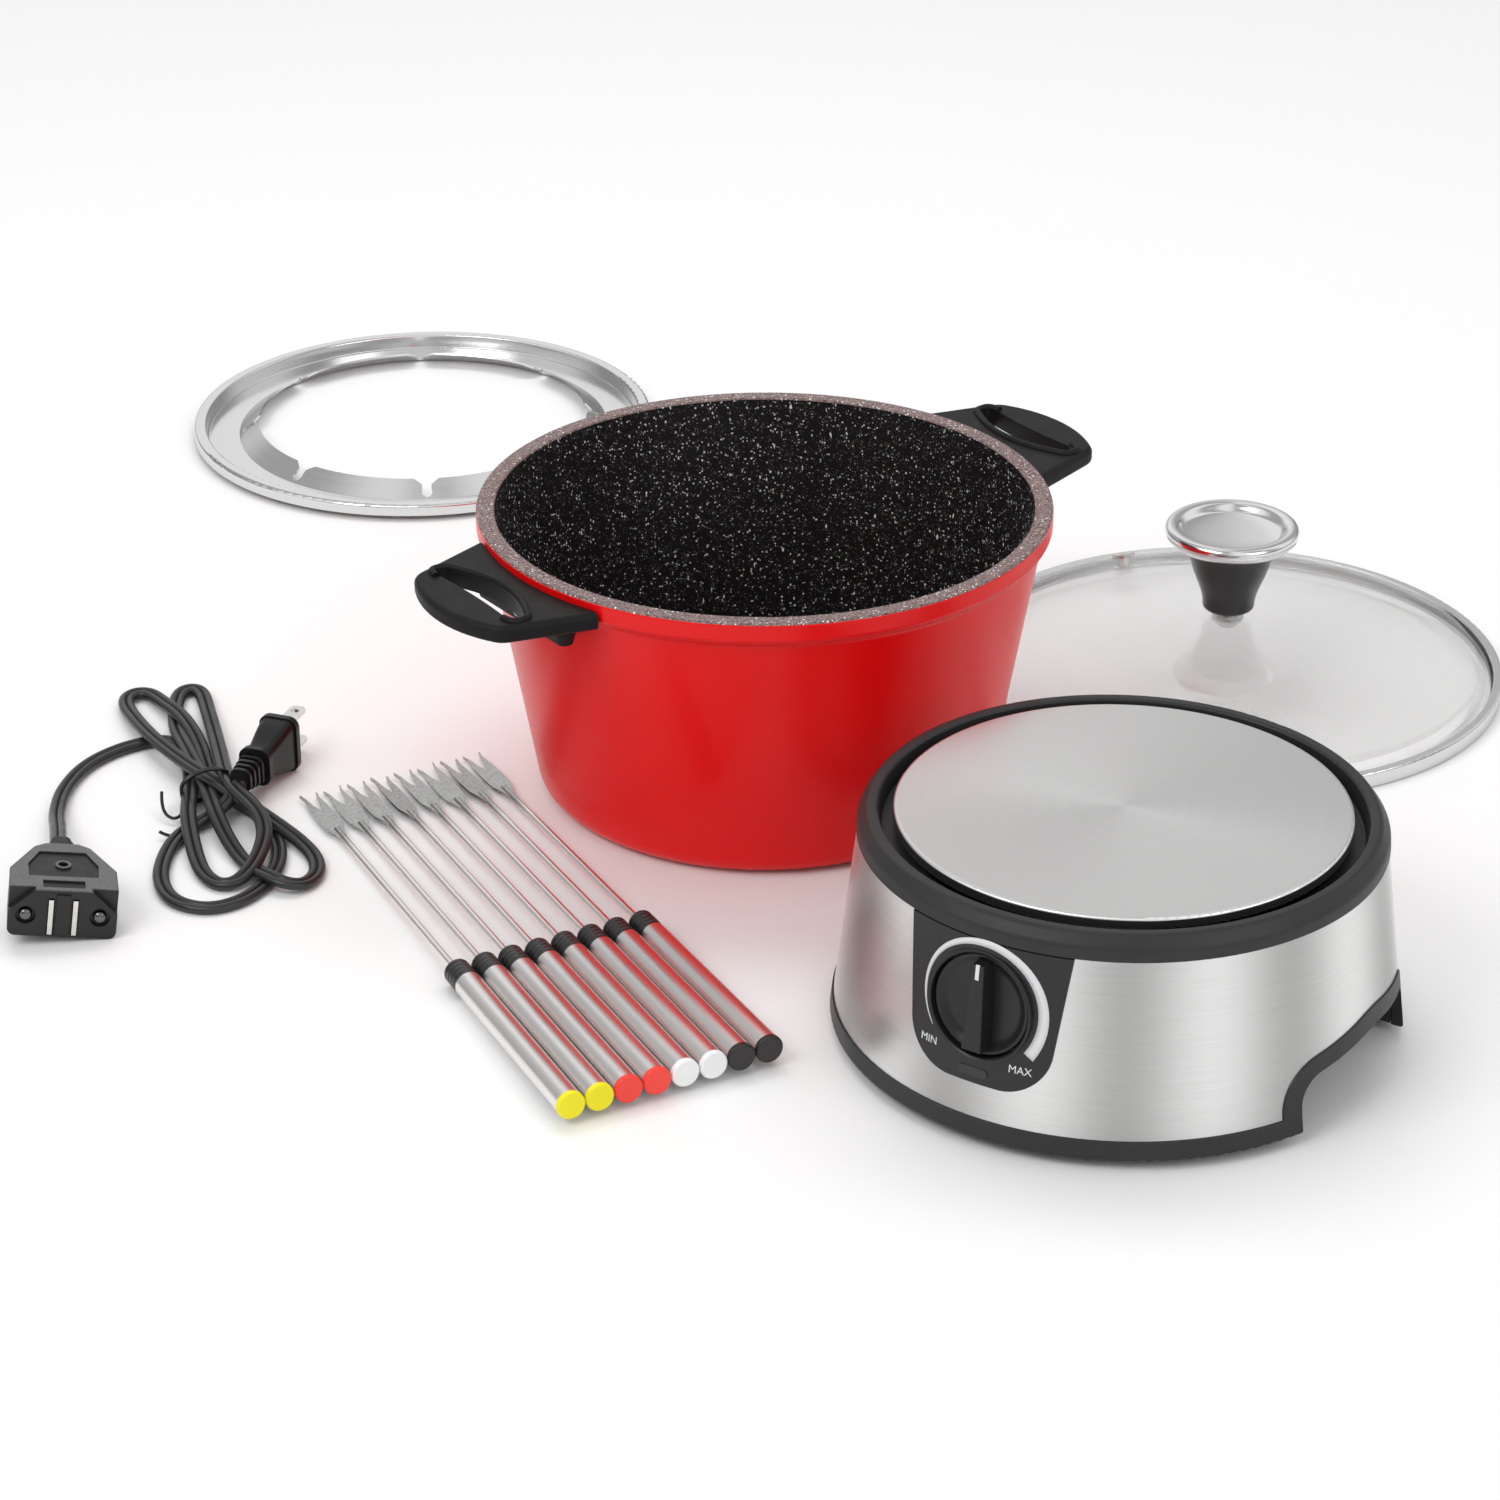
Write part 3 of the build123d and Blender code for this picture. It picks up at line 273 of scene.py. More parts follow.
def satin_metal(name, colour, rough, grain):
    """Plain metal with a fine even grain."""
    s = Shader(name)
    fine = s.noise(grain, 4.0, 0.6)
    slow = s.noise(18.0, 2.0)
    spread = 0.08
    darker = tuple(c * 0.86 for c in colour)
    s.set(Base_Color=s.mix(s.remap(fine, 0.3, 0.7), darker, colour), Metallic=1.0)
    wobble = s.math("MULTIPLY", s.math("ADD", fine, slow), spread)
    s.set(Roughness=s.math("ADD", rough - spread, wobble), Normal=s.bump(fine, 0.02, 0.0001))
    return s.material


# ------------------------------------------------------------------ finishes
def pot_finish():
    """Gloss red outside, speckled black inside and on the rim, bare metal underneath."""
    s = Shader("pot_finish")
    radius, _, height, _ = s.round(POT)
    middle = s.math("ADD", s.math("MULTIPLY", height, POT_WALL_FLARE), POT_WALL_MIDDLE)
    in_wall = s.math("LESS_THAN", radius, middle)
    above_floor = s.math("GREATER_THAN", height, POT_FLOOR)
    on_rim = s.math("GREATER_THAN", height, POT_RIM)
    inside = s.math("MULTIPLY", in_wall, above_floor)

    def flecks(scale, size, seed, stretch=1.0):
        """Scattered flecks, each cell of the pattern with its own size; many cells have none."""
        stretched = s.vector("MULTIPLY", s.place, (1.0, 1.0, stretch))
        shift = s.vector("ADD", stretched, (seed, seed * 2.0, seed * 3.0))
        warp = s.node("ShaderNodeTexNoise")
        s.feed(warp.inputs["Vector"], shift)
        warp.inputs["Scale"].default_value = scale * 1.3
        centred = s.vector("SUBTRACT", warp.outputs["Color"], (0.5, 0.5, 0.5))
        bend = s.vector("MULTIPLY", centred, (0.9 / scale,) * 3)
        cells = s.node("ShaderNodeTexVoronoi")
        s.feed(cells.inputs["Vector"], s.vector("ADD", shift, bend))
        cells.inputs["Scale"].default_value = scale
        pick = s.split(cells.outputs["Color"])[0]
        reach = s.math("MULTIPLY", s.math("POWER", pick, 6.0), size)
        return s.math("LESS_THAN", cells.outputs["Distance"], reach)

    bright = s.math("MAXIMUM", flecks(1150.0, 0.50, 0.37), flecks(620.0, 0.27, 1.91, 0.5))
    dust = s.math("MULTIPLY", flecks(1900.0, 0.70, 3.13), 0.16)
    all_flecks = s.math("MAXIMUM", bright, dust)
    tone = s.mix(s.noise(500.0, 1.0), (0.40, 0.39, 0.38), (1.0, 0.98, 0.96))
    stone = s.mix(all_flecks, (0.0075, 0.0062, 0.0060), tone)
    grit = s.remap(s.noise(1300.0, 3.0, 0.75), 0.40, 0.60)
    rim_base = s.mix(s.noise(320.0, 2.0), (0.040, 0.013, 0.012), (0.085, 0.038, 0.035))
    rim = s.mix(grit, rim_base, (0.30, 0.22, 0.21))
    rim = s.mix(s.math("MULTIPLY", bright, 0.9), rim, (0.88, 0.86, 0.85))
    red = s.mix(s.noise(60.0, 3.0), (0.80, 0.0016, 0.0026), (0.83, 0.0024, 0.0036))
    turned = s.noise(1.0, 3.0, where=s.combine(s.math("MULTIPLY", radius, 1400.0)))
    bare_metal = s.mix(turned, (0.30, 0.30, 0.31), (0.46, 0.46, 0.47))
    underneath = s.math("LESS_THAN", height, POT_BARE_HEIGHT)
    bare = s.math("MULTIPLY", underneath, s.math("LESS_THAN", radius, POT_BARE_RADIUS))
    outside = s.mix(bare, red, bare_metal)
    s.set(Base_Color=s.mix(on_rim, s.mix(inside, outside, stone), rim))
    coated = s.math("MAXIMUM", inside, on_rim)
    rough_in = s.math("ADD", 0.30, s.math("MULTIPLY", s.noise(400.0, 3.0), 0.14))
    rough_out = s.math("ADD", 0.27, s.math("MULTIPLY", s.noise(30.0, 1.0), 0.02))
    painted = s.math("SUBTRACT", 1.0, coated)
    s.set(Roughness=s.scaled_sum((rough_in, rough_out), (coated, painted)), Specular_IOR_Level=0.30)
    pit_depth = s.math("ADD", 0.015, s.math("MULTIPLY", coated, 0.5))
    pits = s.math("MULTIPLY", s.noise(1500.0, 2.0, 0.5), pit_depth)
    s.set(Normal=s.bump(pits, 0.20, 0.0001))
    return s.material


def brushed_skirt_finish():
    """Steel sheet brushed round the shell, with painted reflection bands round it in the base colour."""
    s = Shader("brushed_skirt")
    _, angle, height, tangent = s.round(BASE)
    around = s.combine(s.math("MULTIPLY", angle, 5.0), s.math("MULTIPLY", height, 4200.0), 0.0)
    lines = s.noise(1.0, 5.0, 0.65, where=around)
    broad = s.combine(s.math("MULTIPLY", angle, 2.5), s.math("MULTIPLY", height, 900.0), 4.0)
    both = s.scaled_sum((lines, s.noise(1.0, 2.0, 0.5, where=broad)), (0.7, 0.3))
    # painted reflection: sheen swings the base colour between a darker and a lighter grey in bands round the
    # shell, standing in for bright and dark reflections on the steel
    bands = s.math("SINE", s.math("ADD", s.math("MULTIPLY", angle, SKIRT_PAINTED_REFLECTION_BANDS), SKIRT_PAINTED_REFLECTION_PHASE))
    sheen = s.mix(s.remap(bands, -1.0, 1.0), (0.47, 0.47, 0.465), (0.84, 0.84, 0.835))
    darker = s.mix(0.82, (0.0, 0.0, 0.0), sheen)
    s.set(Base_Color=s.mix(s.remap(both, 0.25, 0.75), darker, sheen), Metallic=1.0)
    s.set(Roughness=s.remap(both, 0.2, 0.8, 0.27, 0.36), Normal=s.bump(lines, 0.05, 0.00005))
    s.set(Anisotropic=0.6, Tangent=tangent)
    return s.material


def spun_finish(name, centre, colour, rough, aniso, pitch, depth):
    """Turned metal: rings about a centre and a conical sheen."""
    s = Shader(name)
    radius, _, height, tangent = s.round(centre)
    slope_run = s.math("ADD", radius, height)
    rings = s.noise(1.0, 5.0, 0.75, where=s.combine(s.math("MULTIPLY", slope_run, pitch), 3.0, 5.0))
    broad = s.noise(1.0, 2.0, 0.5, where=s.combine(s.math("MULTIPLY", slope_run, pitch * 0.1), 1.0, 7.0))
    both = s.scaled_sum((rings, broad), (0.75, 0.25))
    darker = tuple(c * 0.90 for c in colour)
    s.set(Base_Color=s.mix(s.remap(both, 0.3, 0.7), darker, colour), Metallic=1.0)
    s.set(Roughness=s.remap(both, 0.2, 0.8, rough - 0.04, rough + 0.05), Normal=s.bump(rings, depth, 0.00006))
    s.set(Anisotropic=aniso, Tangent=tangent)
    return s.material


def fork_finish():
    """Stainless steel polished along the forks, which all lie nearly the same way; painted shade darkens the
    fork heads.
    """
    s = Shader("fork_steel")
    x, y, z = s.split(s.place)
    lengthways = s.scaled_sum((x, y), FORK_ALONG)
    across = s.scaled_sum((x, y), (FORK_ALONG[1], -FORK_ALONG[0]))
    stretched = s.vector("MULTIPLY", s.combine(lengthways, across, z), (12.0, 1500.0, 1500.0))
    lines = s.noise(1.0, 3.0, 0.6, where=stretched)
    smudge = s.noise(25.0, 1.0)
    bright = s.mix(s.remap(lines, 0.3, 0.7), (0.83, 0.81, 0.795), (0.88, 0.865, 0.85))
    # painted shade: the fork heads get a much darker base colour than the shaft, standing in for the shade on
    # them; their roughness stays the same
    painted_shade_head = s.mix(s.remap(s.noise(900.0, 2.0), 0.3, 0.7), (0.36, 0.36, 0.355), (0.52, 0.52, 0.515))
    s.set(Base_Color=s.mix(s.remap(lengthways, *FORK_HEAD_START), bright, painted_shade_head), Metallic=1.0)
    s.set(Roughness=s.remap(s.math("ADD", lines, smudge), 0.6, 1.4, 0.33, 0.37))
    s.set(Normal=s.bump(smudge, 0.02, 0.00005))
    return s.material


def glass_finish():
    """Clear tempered glass with a faint smear of handling marks."""
    s = Shader("lid_glass")
    s.set(Base_Color=s.mix(s.noise(9.0, 2.0), (0.955, 0.970, 0.965), (0.975, 0.985, 0.980)))
    s.set(Roughness=s.remap(s.noise(20.0, 1.0, 0.5), 0.35, 0.75, 0.0, 0.004))
    s.set(Transmission_Weight=1.0, IOR=1.46, Alpha=0.34)
    s.set(Normal=s.bump(s.noise(40.0, 1.0), 0.004, 0.0002))
    return s.material


def lens_finish():
    """Dark smooth lens of the indicator light, unlit."""
    s = Shader("lens")
    s.set(Base_Color=s.mix(s.noise(300.0, 2.0), (0.014, 0.014, 0.0145), (0.022, 0.022, 0.023)))
    s.set(Roughness=s.remap(s.noise(200.0, 2.0), 0.3, 0.7, 0.12, 0.22))
    s.set(Normal=s.bump(s.noise(900.0, 2.0), 0.05))
    return s.material


def cord_finish():
    """Flexible sheath: satin, with a fine grain."""
    s = Shader("cord_sheath")
    fine = s.noise(700.0, 4.0, 0.6)
    s.set(Base_Color=s.mix(s.noise(60.0, 3.0), (0.012, 0.012, 0.013), (0.022, 0.022, 0.023)))
    s.set(Roughness=s.remap(s.noise(140.0, 3.0), 0.3, 0.7, 0.28, 0.40), Normal=s.bump(fine, 0.10))
    s.set(Specular_IOR_Level=0.55)
    return s.material


def connector_finish():
    """Moulded black plastic: the raised top face is painted a lighter grey than the rest, as painted light.
    """
    s = Shader("moulded_connector")
    x, y, z = s.split(s.vector("SUBTRACT", s.place, CONNECTOR_FOOT))
    level_part = s.scaled_sum((x, y), CONNECTOR_UP[:2])
    height = s.math("ADD", level_part, s.math("MULTIPLY", z, CONNECTOR_UP[2]))
    painted_light_share = s.remap(height, *CONNECTOR_PAINTED_LIGHT)
    grain = s.noise(1100.0, 4.0, 0.7)
    dark = s.mix(s.noise(60.0, 3.0), (0.010, 0.010, 0.011), (0.018, 0.018, 0.019))
    # satin is painted light: a lighter grey on the top face than on the darker front, for how the light
    # falls; both have the same roughness
    satin = s.mix(s.remap(grain, 0.3, 0.7), (0.085, 0.085, 0.087), (0.150, 0.150, 0.153))
    s.set(Base_Color=s.mix(painted_light_share, dark, satin))
    s.set(Roughness=s.remap(s.noise(200.0, 3.0), 0.3, 0.7, 0.36, 0.48), Normal=s.bump(grain, 0.16))
    s.set(Specular_IOR_Level=0.4)
    return s.material


def print_finish():
    """White pad-printed ink, slightly uneven."""
    s = Shader("printed_white")
    s.set(Base_Color=s.mix(s.noise(900.0, 3.0), (0.66, 0.66, 0.67), (0.78, 0.78, 0.79)))
    s.set(Roughness=s.remap(s.noise(500.0, 2.0), 0.3, 0.7, 0.38, 0.52))
    s.set(Normal=s.bump(s.noise(1500.0, 2.0), 0.05))
    return s.material


STUD_MIDDLE = Vector((*CONNECTOR_FOOT[:2], 0.0))
finishes = {
    "black": moulded("moulded_black", (0.016, 0.016, 0.017), 0.46, 1100.0, 0.12, 0.4),
    "handle": moulded("moulded_handle", (0.006, 0.006, 0.0063), 0.50, 900.0, 0.12, 0.18),
    "panel": moulded("moulded_panel", (0.012, 0.012, 0.013), 0.36, 1300.0, 0.05, 0.4),
    "dial": moulded("moulded_dial", (0.009, 0.009, 0.0095), 0.36, 1300.0, 0.08, 0.4),
    "gloss_black": moulded("moulded_gloss", (0.006, 0.006, 0.0065), 0.16, 500.0, 0.02),
    "rubber": moulded("rubber_feet", (0.020, 0.020, 0.020), 0.70, 900.0, 0.20, 0.3),
    "stud": spun_finish("dark_stud", STUD_MIDDLE, (0.16, 0.16, 0.165), 0.16, 0.0, 900.0, 0.03),
    "connector": connector_finish(),
    "plug": moulded("moulded_plug", (0.005, 0.005, 0.0055), 0.34, 1100.0, 0.06, 0.30),
    "lens": lens_finish(),
    "pot": pot_finish(),
    "skirt": brushed_skirt_finish(),
    "plate": spun_finish("spun_plate", BASE, (0.80, 0.80, 0.795), 0.33, 0.72, 3200.0, 0.03),
    "cap": spun_finish("spun_cap", LID, (0.80, 0.80, 0.80), 0.14, 0.45, 2200.0, 0.05),
    "ring": spun_finish("pressed_ring", RING, (0.76, 0.76, 0.76), 0.17, 0.35, 1500.0, 0.05),
    "band": spun_finish("rolled_band", LID, (0.74, 0.74, 0.74), 0.20, 0.3, 1500.0, 0.05),
    "glass": glass_finish(),
    "steel": satin_metal("satin_steel", (0.62, 0.61, 0.60), 0.28, 400.0),
    "fork": fork_finish(),
    "cord": cord_finish(),
    "blade": satin_metal("nickel_brass", (0.76, 0.74, 0.70), 0.26, 500.0),
    "ferrule": moulded("moulded_ferrule", (0.018, 0.017, 0.017), 0.28, 900.0, 0.05),
    "yellow": moulded("cap_yellow", (0.84, 0.70, 0.006), 0.34, 900.0, 0.05, 0.4),
    "red": moulded("cap_red", (0.86, 0.050, 0.036), 0.34, 900.0, 0.05, 0.4),
    "white": moulded("cap_white", (0.78, 0.79, 0.81), 0.34, 900.0, 0.05, 0.4),
    "cap_black": moulded("cap_black", (0.016, 0.014, 0.013), 0.30, 900.0, 0.05),
    "print": print_finish(),
}

fork_cap_finishes = ("yellow", "yellow", "red", "red", "white", "white", "cap_black", "cap_black")
node_finishes = {
    "base_skirt": "skirt", "top_collar": "black", "bottom_trim": "black", "base_pan": "black",
    "heating_plate": "plate", "heating_element": "steel", "heat_shield": "steel", "control_panel": "panel",
    "thermostat_body": "black", "indicator_light": "lens", "feet": "rubber", "base_screws": "steel",
    "inlet_socket": "black", "inlet_contacts": "blade", "inlet_keepers": "steel", "knob": "dial",
    "thermostat_shaft": "steel", "pot_body": "pot", "handle_front": "handle", "handle_back": "handle",
    "handle_screws": "steel", "lid_glass": "glass", "lid_band": "band", "lid_knob_stem": "gloss_black",
    "lid_knob_cap": "cap", "lid_screw": "steel", "vent_eyelet": "steel", "fork_ring": "ring",
    "connector_shell": "connector", "connector_contacts": "blade", "connector_magnets": "stud",
    "cord_tube": "cord", "cord_hank": "cord", "twist_tie": "cord", "plug_body": "plug",
    "plug_blades": "blade",
}
for number, cap_finish in enumerate(fork_cap_finishes, 1):
    node_finishes[f"fork_{number}_steel"] = "fork"
    node_finishes[f"fork_{number}_ferrule"] = "ferrule"
    node_finishes[f"fork_{number}_cap"] = cap_finish
for name, finish in node_finishes.items():
    nodes[name].data.materials.clear()
    nodes[name].data.materials.append(finishes[finish])

# ------------------------------------------------------------------ twist tie, in mm
TIE_CENTRE = Vector((-216.5, -23.0, 0.0))
TIE_ACROSS = Vector((0.92, 0.39, 0.0)).normalized()
TIE_ALONG = Vector((0.39, -0.92, 0.0)).normalized()
TIE_PITCH = 1.6                                 # mm from one turn of the wire to the next
TIE_SLANT = 1.4                                 # mm along the hank over one turn
TIE_WIDER = 0.03                                # growth of the second turn across the hank
TIE_HIGHER = 0.3                                # mm
tie_turn = [
    (-10.9, 5.6), (-10.1, 9.2), (-6.4, 12.0), (-1.0, 13.4), (4.4, 13.0), (8.6, 10.4), (10.9, 6.2),
    (10.3, 2.4), (6.0, 1.0), (0.0, 0.9), (-6.0, 1.0), (-10.2, 2.4),
]
tie_first_end = [(-233.3, -30.5, 7.0), (-232.9, -36.0, 4.6), (-230.4, -42.0, 2.6), (-226.0, -44.5, 2.4)]
tie_last_end = [(-222.5, -49.0, 1.6), (-224.6, -54.5, 1.2), (-228.0, -56.6, 1.6), (-231.4, -55.4, 3.0)]


def tie_place(across, along, height):
    """Place beside the tie's middle, in mm across the hank, along it and above the table."""
    return TIE_CENTRE + TIE_ACROSS * across + TIE_ALONG * along + Vector((0, 0, height))


def make_tie():
    """Plastic-coated wire: two turns round the hank and two loose ends."""
    places = [tie_place(-12.2, 11.0, 3.6)]
    for turn in range(2):
        for step, (across, height) in enumerate(tie_turn):
            along = TIE_PITCH * turn + TIE_SLANT * step / len(tie_turn)
            places.append(tie_place(across * (1 + TIE_WIDER * turn), along, height + TIE_HIGHER * turn))
    places.append(tie_place(-11.6, 9.0, 3.2))
    places = tie_first_end + places + tie_last_end
    source = nurbs("tie_source", [Vector(place) * MM for place in places])
    source.data.bevel_depth = TIE_WIRE
    source.data.bevel_resolution = 4
    source.data.use_fill_caps = True
    mesh = bpy.data.meshes.new_from_object(source)
    bpy.data.objects.remove(source)
    mesh.polygons.foreach_set("use_smooth", [True] * len(mesh.polygons))
    tie = link(bpy.data.objects.new("tie_wire", mesh))
    finish_piece(tie, "cord_set", finishes["gloss_black"], ("twist_tie",))


make_tie()


# ------------------------------------------------------------------ cord
# The free stretch from the connector, then the hank's loops and ears in the order the cord runs, in mm.
lead_points = [
    (-264.0, -90.0, 15.9), (-267.4, -68.0, 10.6), (-272.6, -43.0, 3.8), (-273.6, -18.0, 1.8),
    (-267.0, 4.5, 1.8), (-252.0, 20.5, 1.7), (-236.6, 25.0, 1.7),
]
front_loop = [
    (-229.0, 12.0, 1.8), (-225.0, -6.0, 2.8), (-223.0, -25.0, 4.2), (-221.8, -45.0, 5.2),
    (-218.0, -64.0, 3.6), (-213.2, -82.0, 2.2), (-209.0, -90.6, 1.7), (-203.6, -95.8, 1.8),
    (-197.4, -94.8, 2.6), (-192.9, -87.2, 4.2), (-190.3, -76.5, 6.0), (-189.5, -65.0, 8.2),
    (-193.5, -52.0, 10.0), (-203.0, -37.5, 10.8),
]
right_ear = [
    (-209.5, -21.5, 9.8), (-213.0, -4.0, 7.4), (-218.4, 21.5, 4.6), (-224.6, 48.0, 2.8),
    (-228.9, 66.4, 2.1), (-233.9, 70.4, 1.8), (-238.3, 66.2, 1.8), (-238.5, 54.0, 1.8),
    (-237.0, 42.0, 1.8), (-234.5, 28.0, 3.4), (-230.0, 14.0, 4.9), (-224.5, -2.0, 5.4),
    (-218.0, -19.0, 5.4),
]
right_loop = [
    (-214.5, -33.0, 6.6), (-211.5, -45.0, 7.0), (-205.5, -61.0, 4.2), (-199.0, -74.0, 1.9),
    (-194.0, -82.0, 1.8), (-187.0, -92.5, 4.6), (-179.5, -99.0, 4.2), (-172.0, -96.5, 2.2),
    (-168.0, -86.5, 1.6), (-170.0, -74.0, 1.6), (-178.0, -61.0, 2.6), (-189.0, -50.5, 5.2),
    (-201.0, -39.0, 7.4), (-214.5, -23.5, 8.8),
]
left_ear = [
    (-223.0, -13.5, 8.4), (-233.7, 2.6, 7.2), (-244.4, 20.5, 5.8), (-254.5, 42.5, 3.6),
    (-258.6, 54.0, 2.6), (-259.0, 61.5, 2.3), (-255.2, 66.0, 2.2), (-249.6, 64.6, 2.4),
    (-244.6, 57.0, 3.0), (-235.0, 41.5, 4.9), (-228.0, 26.5, 4.6), (-222.5, 11.0, 3.4),
    (-218.0, -6.0, 2.4),
]
back_loop = [
    (-212.0, -21.0, 1.9), (-203.0, -30.5, 1.7), (-193.5, -42.0, 1.7), (-186.5, -58.0, 1.6),
    (-183.4, -76.0, 1.6), (-185.8, -92.7, 1.6), (-193.4, -106.7, 1.6), (-204.0, -113.5, 1.6),
    (-214.4, -111.6, 1.6), (-222.7, -104.0, 1.6), (-227.6, -88.0, 1.6), (-227.0, -68.0, 1.6),
    (-223.2, -54.0, 1.7), (-216.0, -46.0, 2.4), (-209.0, -41.0, 5.2), (-204.6, -35.0, 8.6),
    (-202.4, -29.4, 11.2),
]


def cord_section():
    """Flat twin section: two cores side by side under one sheath, with a groove between them."""
    lobe = CORD_THICK / 2
    reach = CORD_WIDTH / 2 - lobe
    turns = [math.radians(degrees) for degrees in range(-150, 151, 15)]
    half = [(reach + lobe * math.cos(turn), lobe * math.sin(turn)) for turn in turns]
    groove = lobe * CORD_GROOVE
    outline = half + [(0.0, groove)] + [(-x, -y) for x, y in half] + [(0.0, -groove)]
    data = bpy.data.curves.new("cord_section", "CURVE")
    data.dimensions = "2D"
    spline = data.splines.new("POLY")
    spline.points.add(len(outline) - 1)
    for point, (x, y) in zip(spline.points, outline):
        point.co = (x, y, 0.0, 1.0)
    spline.use_cyclic_u = True
    section = bpy.data.objects.new("cord_section", data)
    link(section)
    section.hide_render = True
    section.hide_viewport = True
    return section


route = lead_points + front_loop + right_ear + right_loop + left_ear + back_loop
cord = nurbs("power_cord", [(Vector(p) + CORD_LIFT) * MM for p in route])
cord.data.bevel_mode = "OBJECT"
cord.data.bevel_object = cord_section()
cord.data.use_fill_caps = True
finish_piece(cord, "cord_set", finishes["cord"], ("cord_tube", "cord_hank"))

# ------------------------------------------------------------------ printed marks on the control panel
SLOPE = (SKIRT_FOOT[0] - SKIRT_TOP[0]) / (SKIRT_TOP[1] - SKIRT_FOOT[1])
LEAN = math.atan(SLOPE)


def panel_place(x, y, proud):
    """Place on the panel's conical face, x to the right and y up the slope from the dial's centre."""
    height = DIAL_HEIGHT + y * math.cos(LEAN)
    radius = SKIRT_FOOT[0] - SLOPE * (height - SKIRT_FOOT[1]) + PANEL_PROUD + proud
    azimuth = PANEL_AZIMUTH + x / (radius - proud)
    return BASE + Vector((radius * math.cos(azimuth), radius * math.sin(azimuth), height))


def make_scale():
    """Crescent round the dial that grows thicker towards its end."""
    verts = []
    faces = []
    steps = 72
    for step in range(steps + 1):   # each step adds four places: inner and outer, below and above the face
        share = step / steps
        angle = math.radians(SCALE_START + SCALE_SWEEP * share)
        outer = SCALE_INNER + SCALE_THIN + SCALE_GROWTH * share ** SCALE_POWER
        for radius in (SCALE_INNER, outer):
            for proud in (INK_BELOW, INK_ABOVE):
                verts.append(panel_place(radius * math.sin(angle), radius * math.cos(angle), proud))
    for a in range(0, 4 * steps, 4):
        b = a + 4
        faces += [(a + 1, b + 1, b + 3, a + 3), (a, a + 2, b + 2, b)]
        faces += [(a, b, b + 1, a + 1), (a + 2, a + 3, b + 3, b + 2)]
    last = 4 * steps
    faces += [(0, 1, 3, 2), (last, last + 2, last + 3, last + 1)]
    scale = mesh_piece("dial_scale", verts, faces)
    finish_piece(scale, "base", finishes["print"])


def make_word(text, centre, size):
    """A generic word printed on the panel, wrapped to its curve."""
    data = bpy.data.curves.new("word_" + text.lower(), "FONT")
    data.body = text
    data.size = size
    data.align_x = "CENTER"
    data.align_y = "CENTER"
    data.extrude = WORD_EXTRUDE
    data.offset = WORD_OFFSET
    source = link(bpy.data.objects.new("word_source", data))
    mesh = bpy.data.meshes.new_from_object(source)
    bpy.data.objects.remove(source)
    word = link(bpy.data.objects.new("word_" + text.lower(), mesh))
    for vertex in mesh.vertices:
        x, y, z = vertex.co
        vertex.co = panel_place(centre[0] + x, centre[1] + y, z + WORD_PROUD)
    finish_piece(word, "base", finishes["print"])


def make_tick():
    """White mark set in the top of the dial's grip."""
    outward = Vector((math.cos(PANEL_AZIMUTH), math.sin(PANEL_AZIMUTH), 0.0))
    axis = outward * math.cos(LEAN) + Vector((0.0, 0.0, math.sin(LEAN)))
    across = Vector((-outward.y, outward.x, 0.0))
    up = axis.cross(across)
    centre = panel_place(0.0, 0.0, 0.0)
    half, start, end = TICK
    corners = [(-half, start), (half, start), (half, end), (-half, end)]
    verts = []
    for proud in (GRIP_TOP - TICK_SUNK, GRIP_TOP + TICK_PROUD):
        verts += [centre + across * x + up * y + axis * proud for x, y in corners]
    faces = [(0, 1, 2, 3), (4, 5, 6, 7), (0, 1, 5, 4), (1, 2, 6, 5), (2, 3, 7, 6), (3, 0, 4, 7)]
    tick = mesh_piece("dial_tick", verts, faces, smooth=False)
    finish_piece(tick, "dial", finishes["print"])


make_scale()
make_word("MIN", (-0.0187, -0.0184), 0.0040)
make_word("MAX", (0.0170, -0.0192), 0.0039)
make_tick()


# ------------------------------------------------------------------ floor and light
def make_stage():
    s = Shader("pale_floor")
    s.set(Base_Color=s.mix(s.noise(2.0, 2.0), (0.86, 0.86, 0.86), (0.88, 0.88, 0.88)))
    s.set(Roughness=0.7, Specular_IOR_Level=0.2)
    reach = 6.0
    corners = [(-reach, -reach, 0), (reach, -reach, 0), (reach, reach, 0), (-reach, reach, 0)]
    floor = mesh_piece("floor", corners, [(0, 1, 2, 3)])
    floor.location.z = -0.0002
    floor.data.materials.append(s.material)


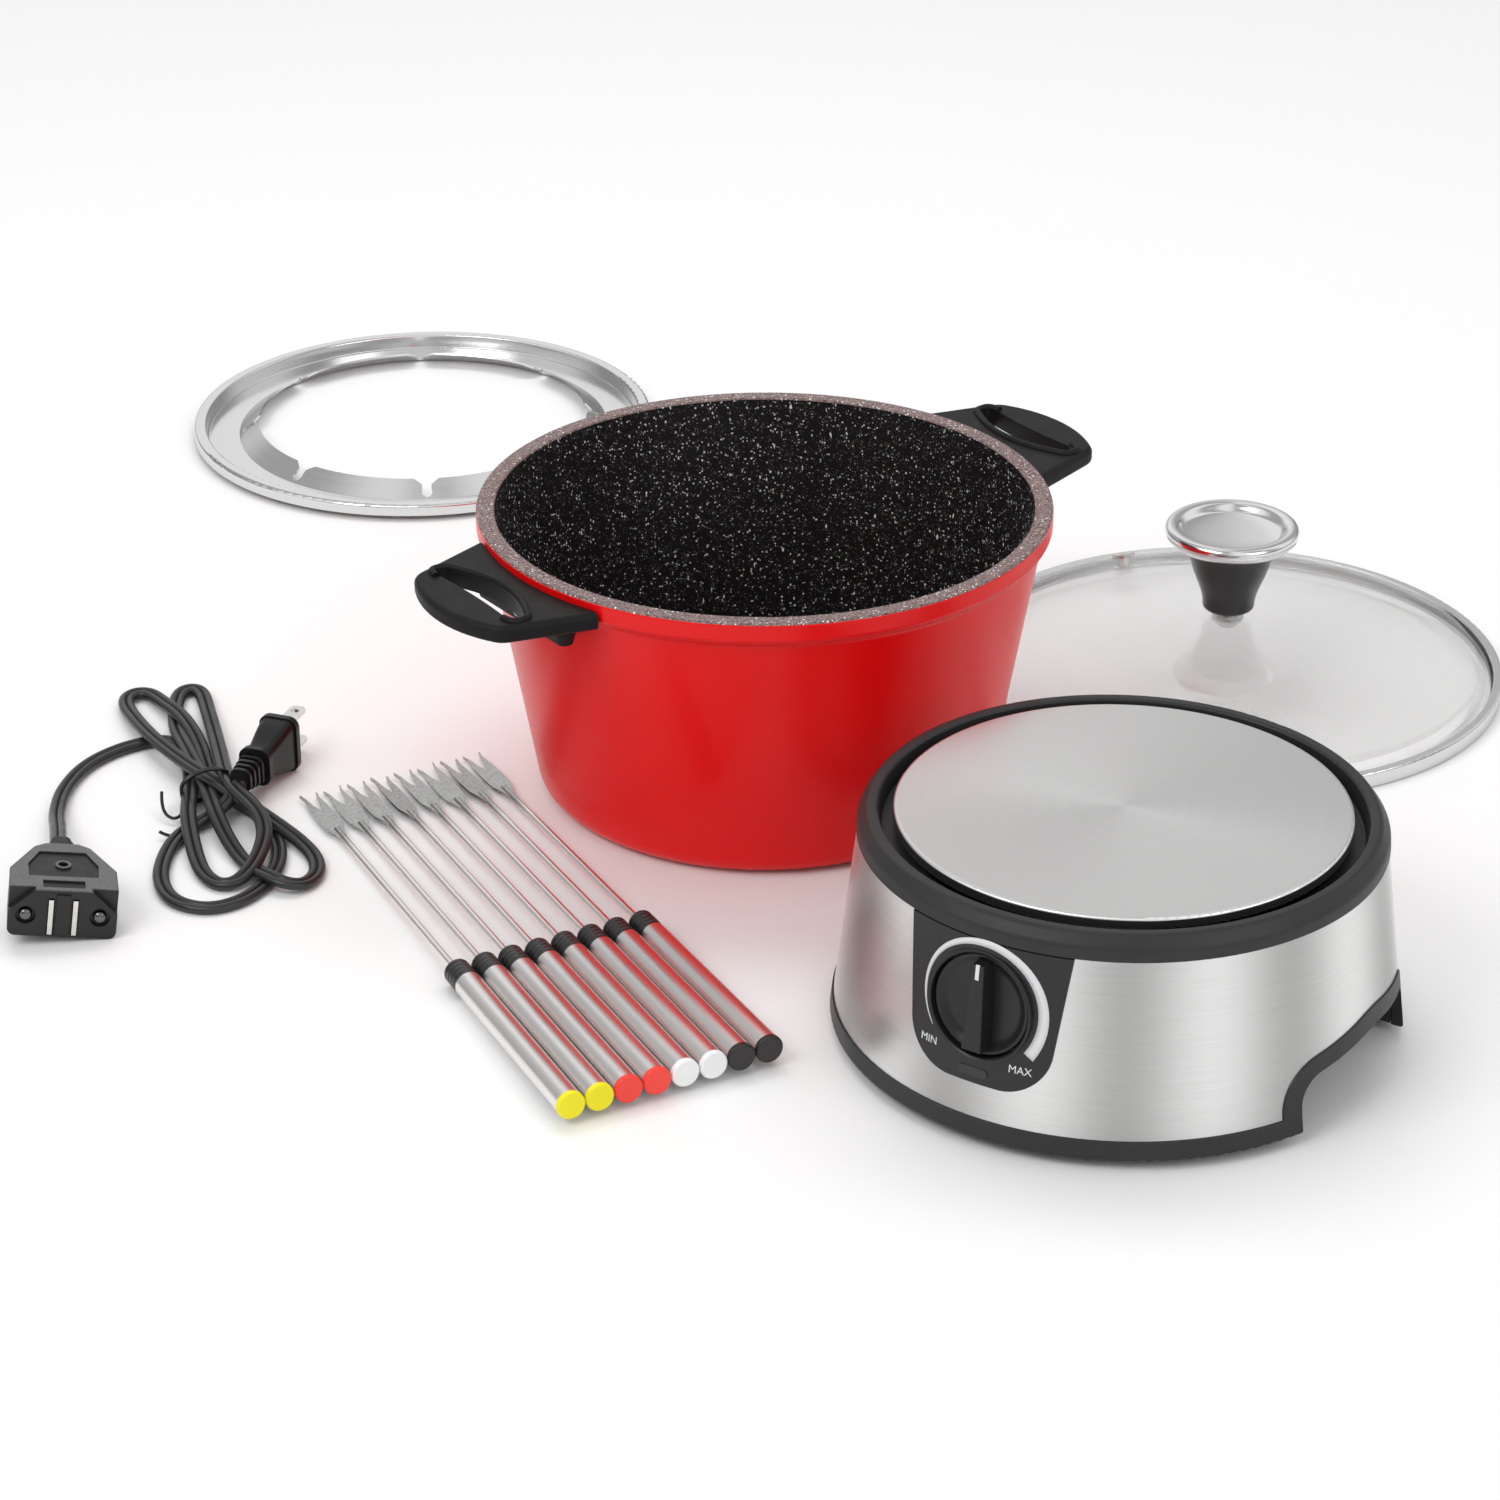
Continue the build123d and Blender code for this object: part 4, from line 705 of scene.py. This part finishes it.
def area_light(name, place, target, size, power, mirrored=True):
    """Rectangular lamp aimed at a target; one that isn't mirrored lights without being reflected."""
    data = bpy.data.lights.new(name, "AREA")
    data.shape = "RECTANGLE"
    data.size, data.size_y = size
    data.energy = power
    light = link(bpy.data.objects.new(name, data))
    light.location = place
    light.visible_glossy = mirrored
    light.rotation_mode = "QUATERNION"
    light.rotation_quaternion = (Vector(target) - Vector(place)).to_track_quat("-Z", "Y")


def make_world():
    """Studio surround: dimmer near the horizon, bright above, with bright panels towards four sides."""
    world = bpy.data.worlds.new("studio")
    world.use_nodes = True
    tree = world.node_tree

    def math_node(operation, *values):
        made = tree.nodes.new("ShaderNodeMath")
        made.operation = operation
        for socket, value in zip(made.inputs, values):
            if isinstance(value, bpy.types.NodeSocket):
                tree.links.new(value, socket)
            else:
                socket.default_value = value
        return made.outputs[0]

    def range_node(value, limits, levels, interpolation):
        made = tree.nodes.new("ShaderNodeMapRange")
        made.interpolation_type = interpolation
        for name, number in zip(("From Min", "From Max", "To Min", "To Max"), (*limits, *levels)):
            made.inputs[name].default_value = number
        tree.links.new(value, made.inputs["Value"])
        return made.outputs[0]

    place = tree.nodes.new("ShaderNodeTexCoord")
    split = tree.nodes.new("ShaderNodeSeparateXYZ")
    tree.links.new(place.outputs["Generated"], split.inputs[0])
    climb = range_node(split.outputs["Z"], (0.0, SKY_RISE), SKY_LEVELS, "SMOOTHSTEP")
    turn = math_node("ARCTAN2", split.outputs["Y"], split.outputs["X"])
    swing = math_node("SINE", math_node("MULTIPLY_ADD", turn, SKY_PANELS, SKY_PHASE))
    share = range_node(swing, (-SKY_PANEL_EDGE, SKY_PANEL_EDGE), SKY_PANEL_SHARES, "LINEAR")
    background = tree.nodes["Background"]
    background.inputs["Color"].default_value = (1.0, 1.0, 1.0, 1.0)
    tree.links.new(math_node("MULTIPLY", climb, share), background.inputs["Strength"])
    bpy.context.scene.world = world


def make_light():
    area_light("key", (-1.0, -1.0, 1.5), (0, -0.05, 0.05), size=(1.1, 0.8), power=11.0)
    area_light("fill", (1.3, -1.2, 1.0), (0, -0.05, 0.05), size=(0.9, 1.0), power=5.0)
    area_light("top", (0.0, 0.7, 1.8), (0, 0, 0.05), size=(2.2, 0.7), power=14.0, mirrored=False)
    make_world()
    bpy.context.scene.view_settings.view_transform = "Standard"


make_stage()
make_light()
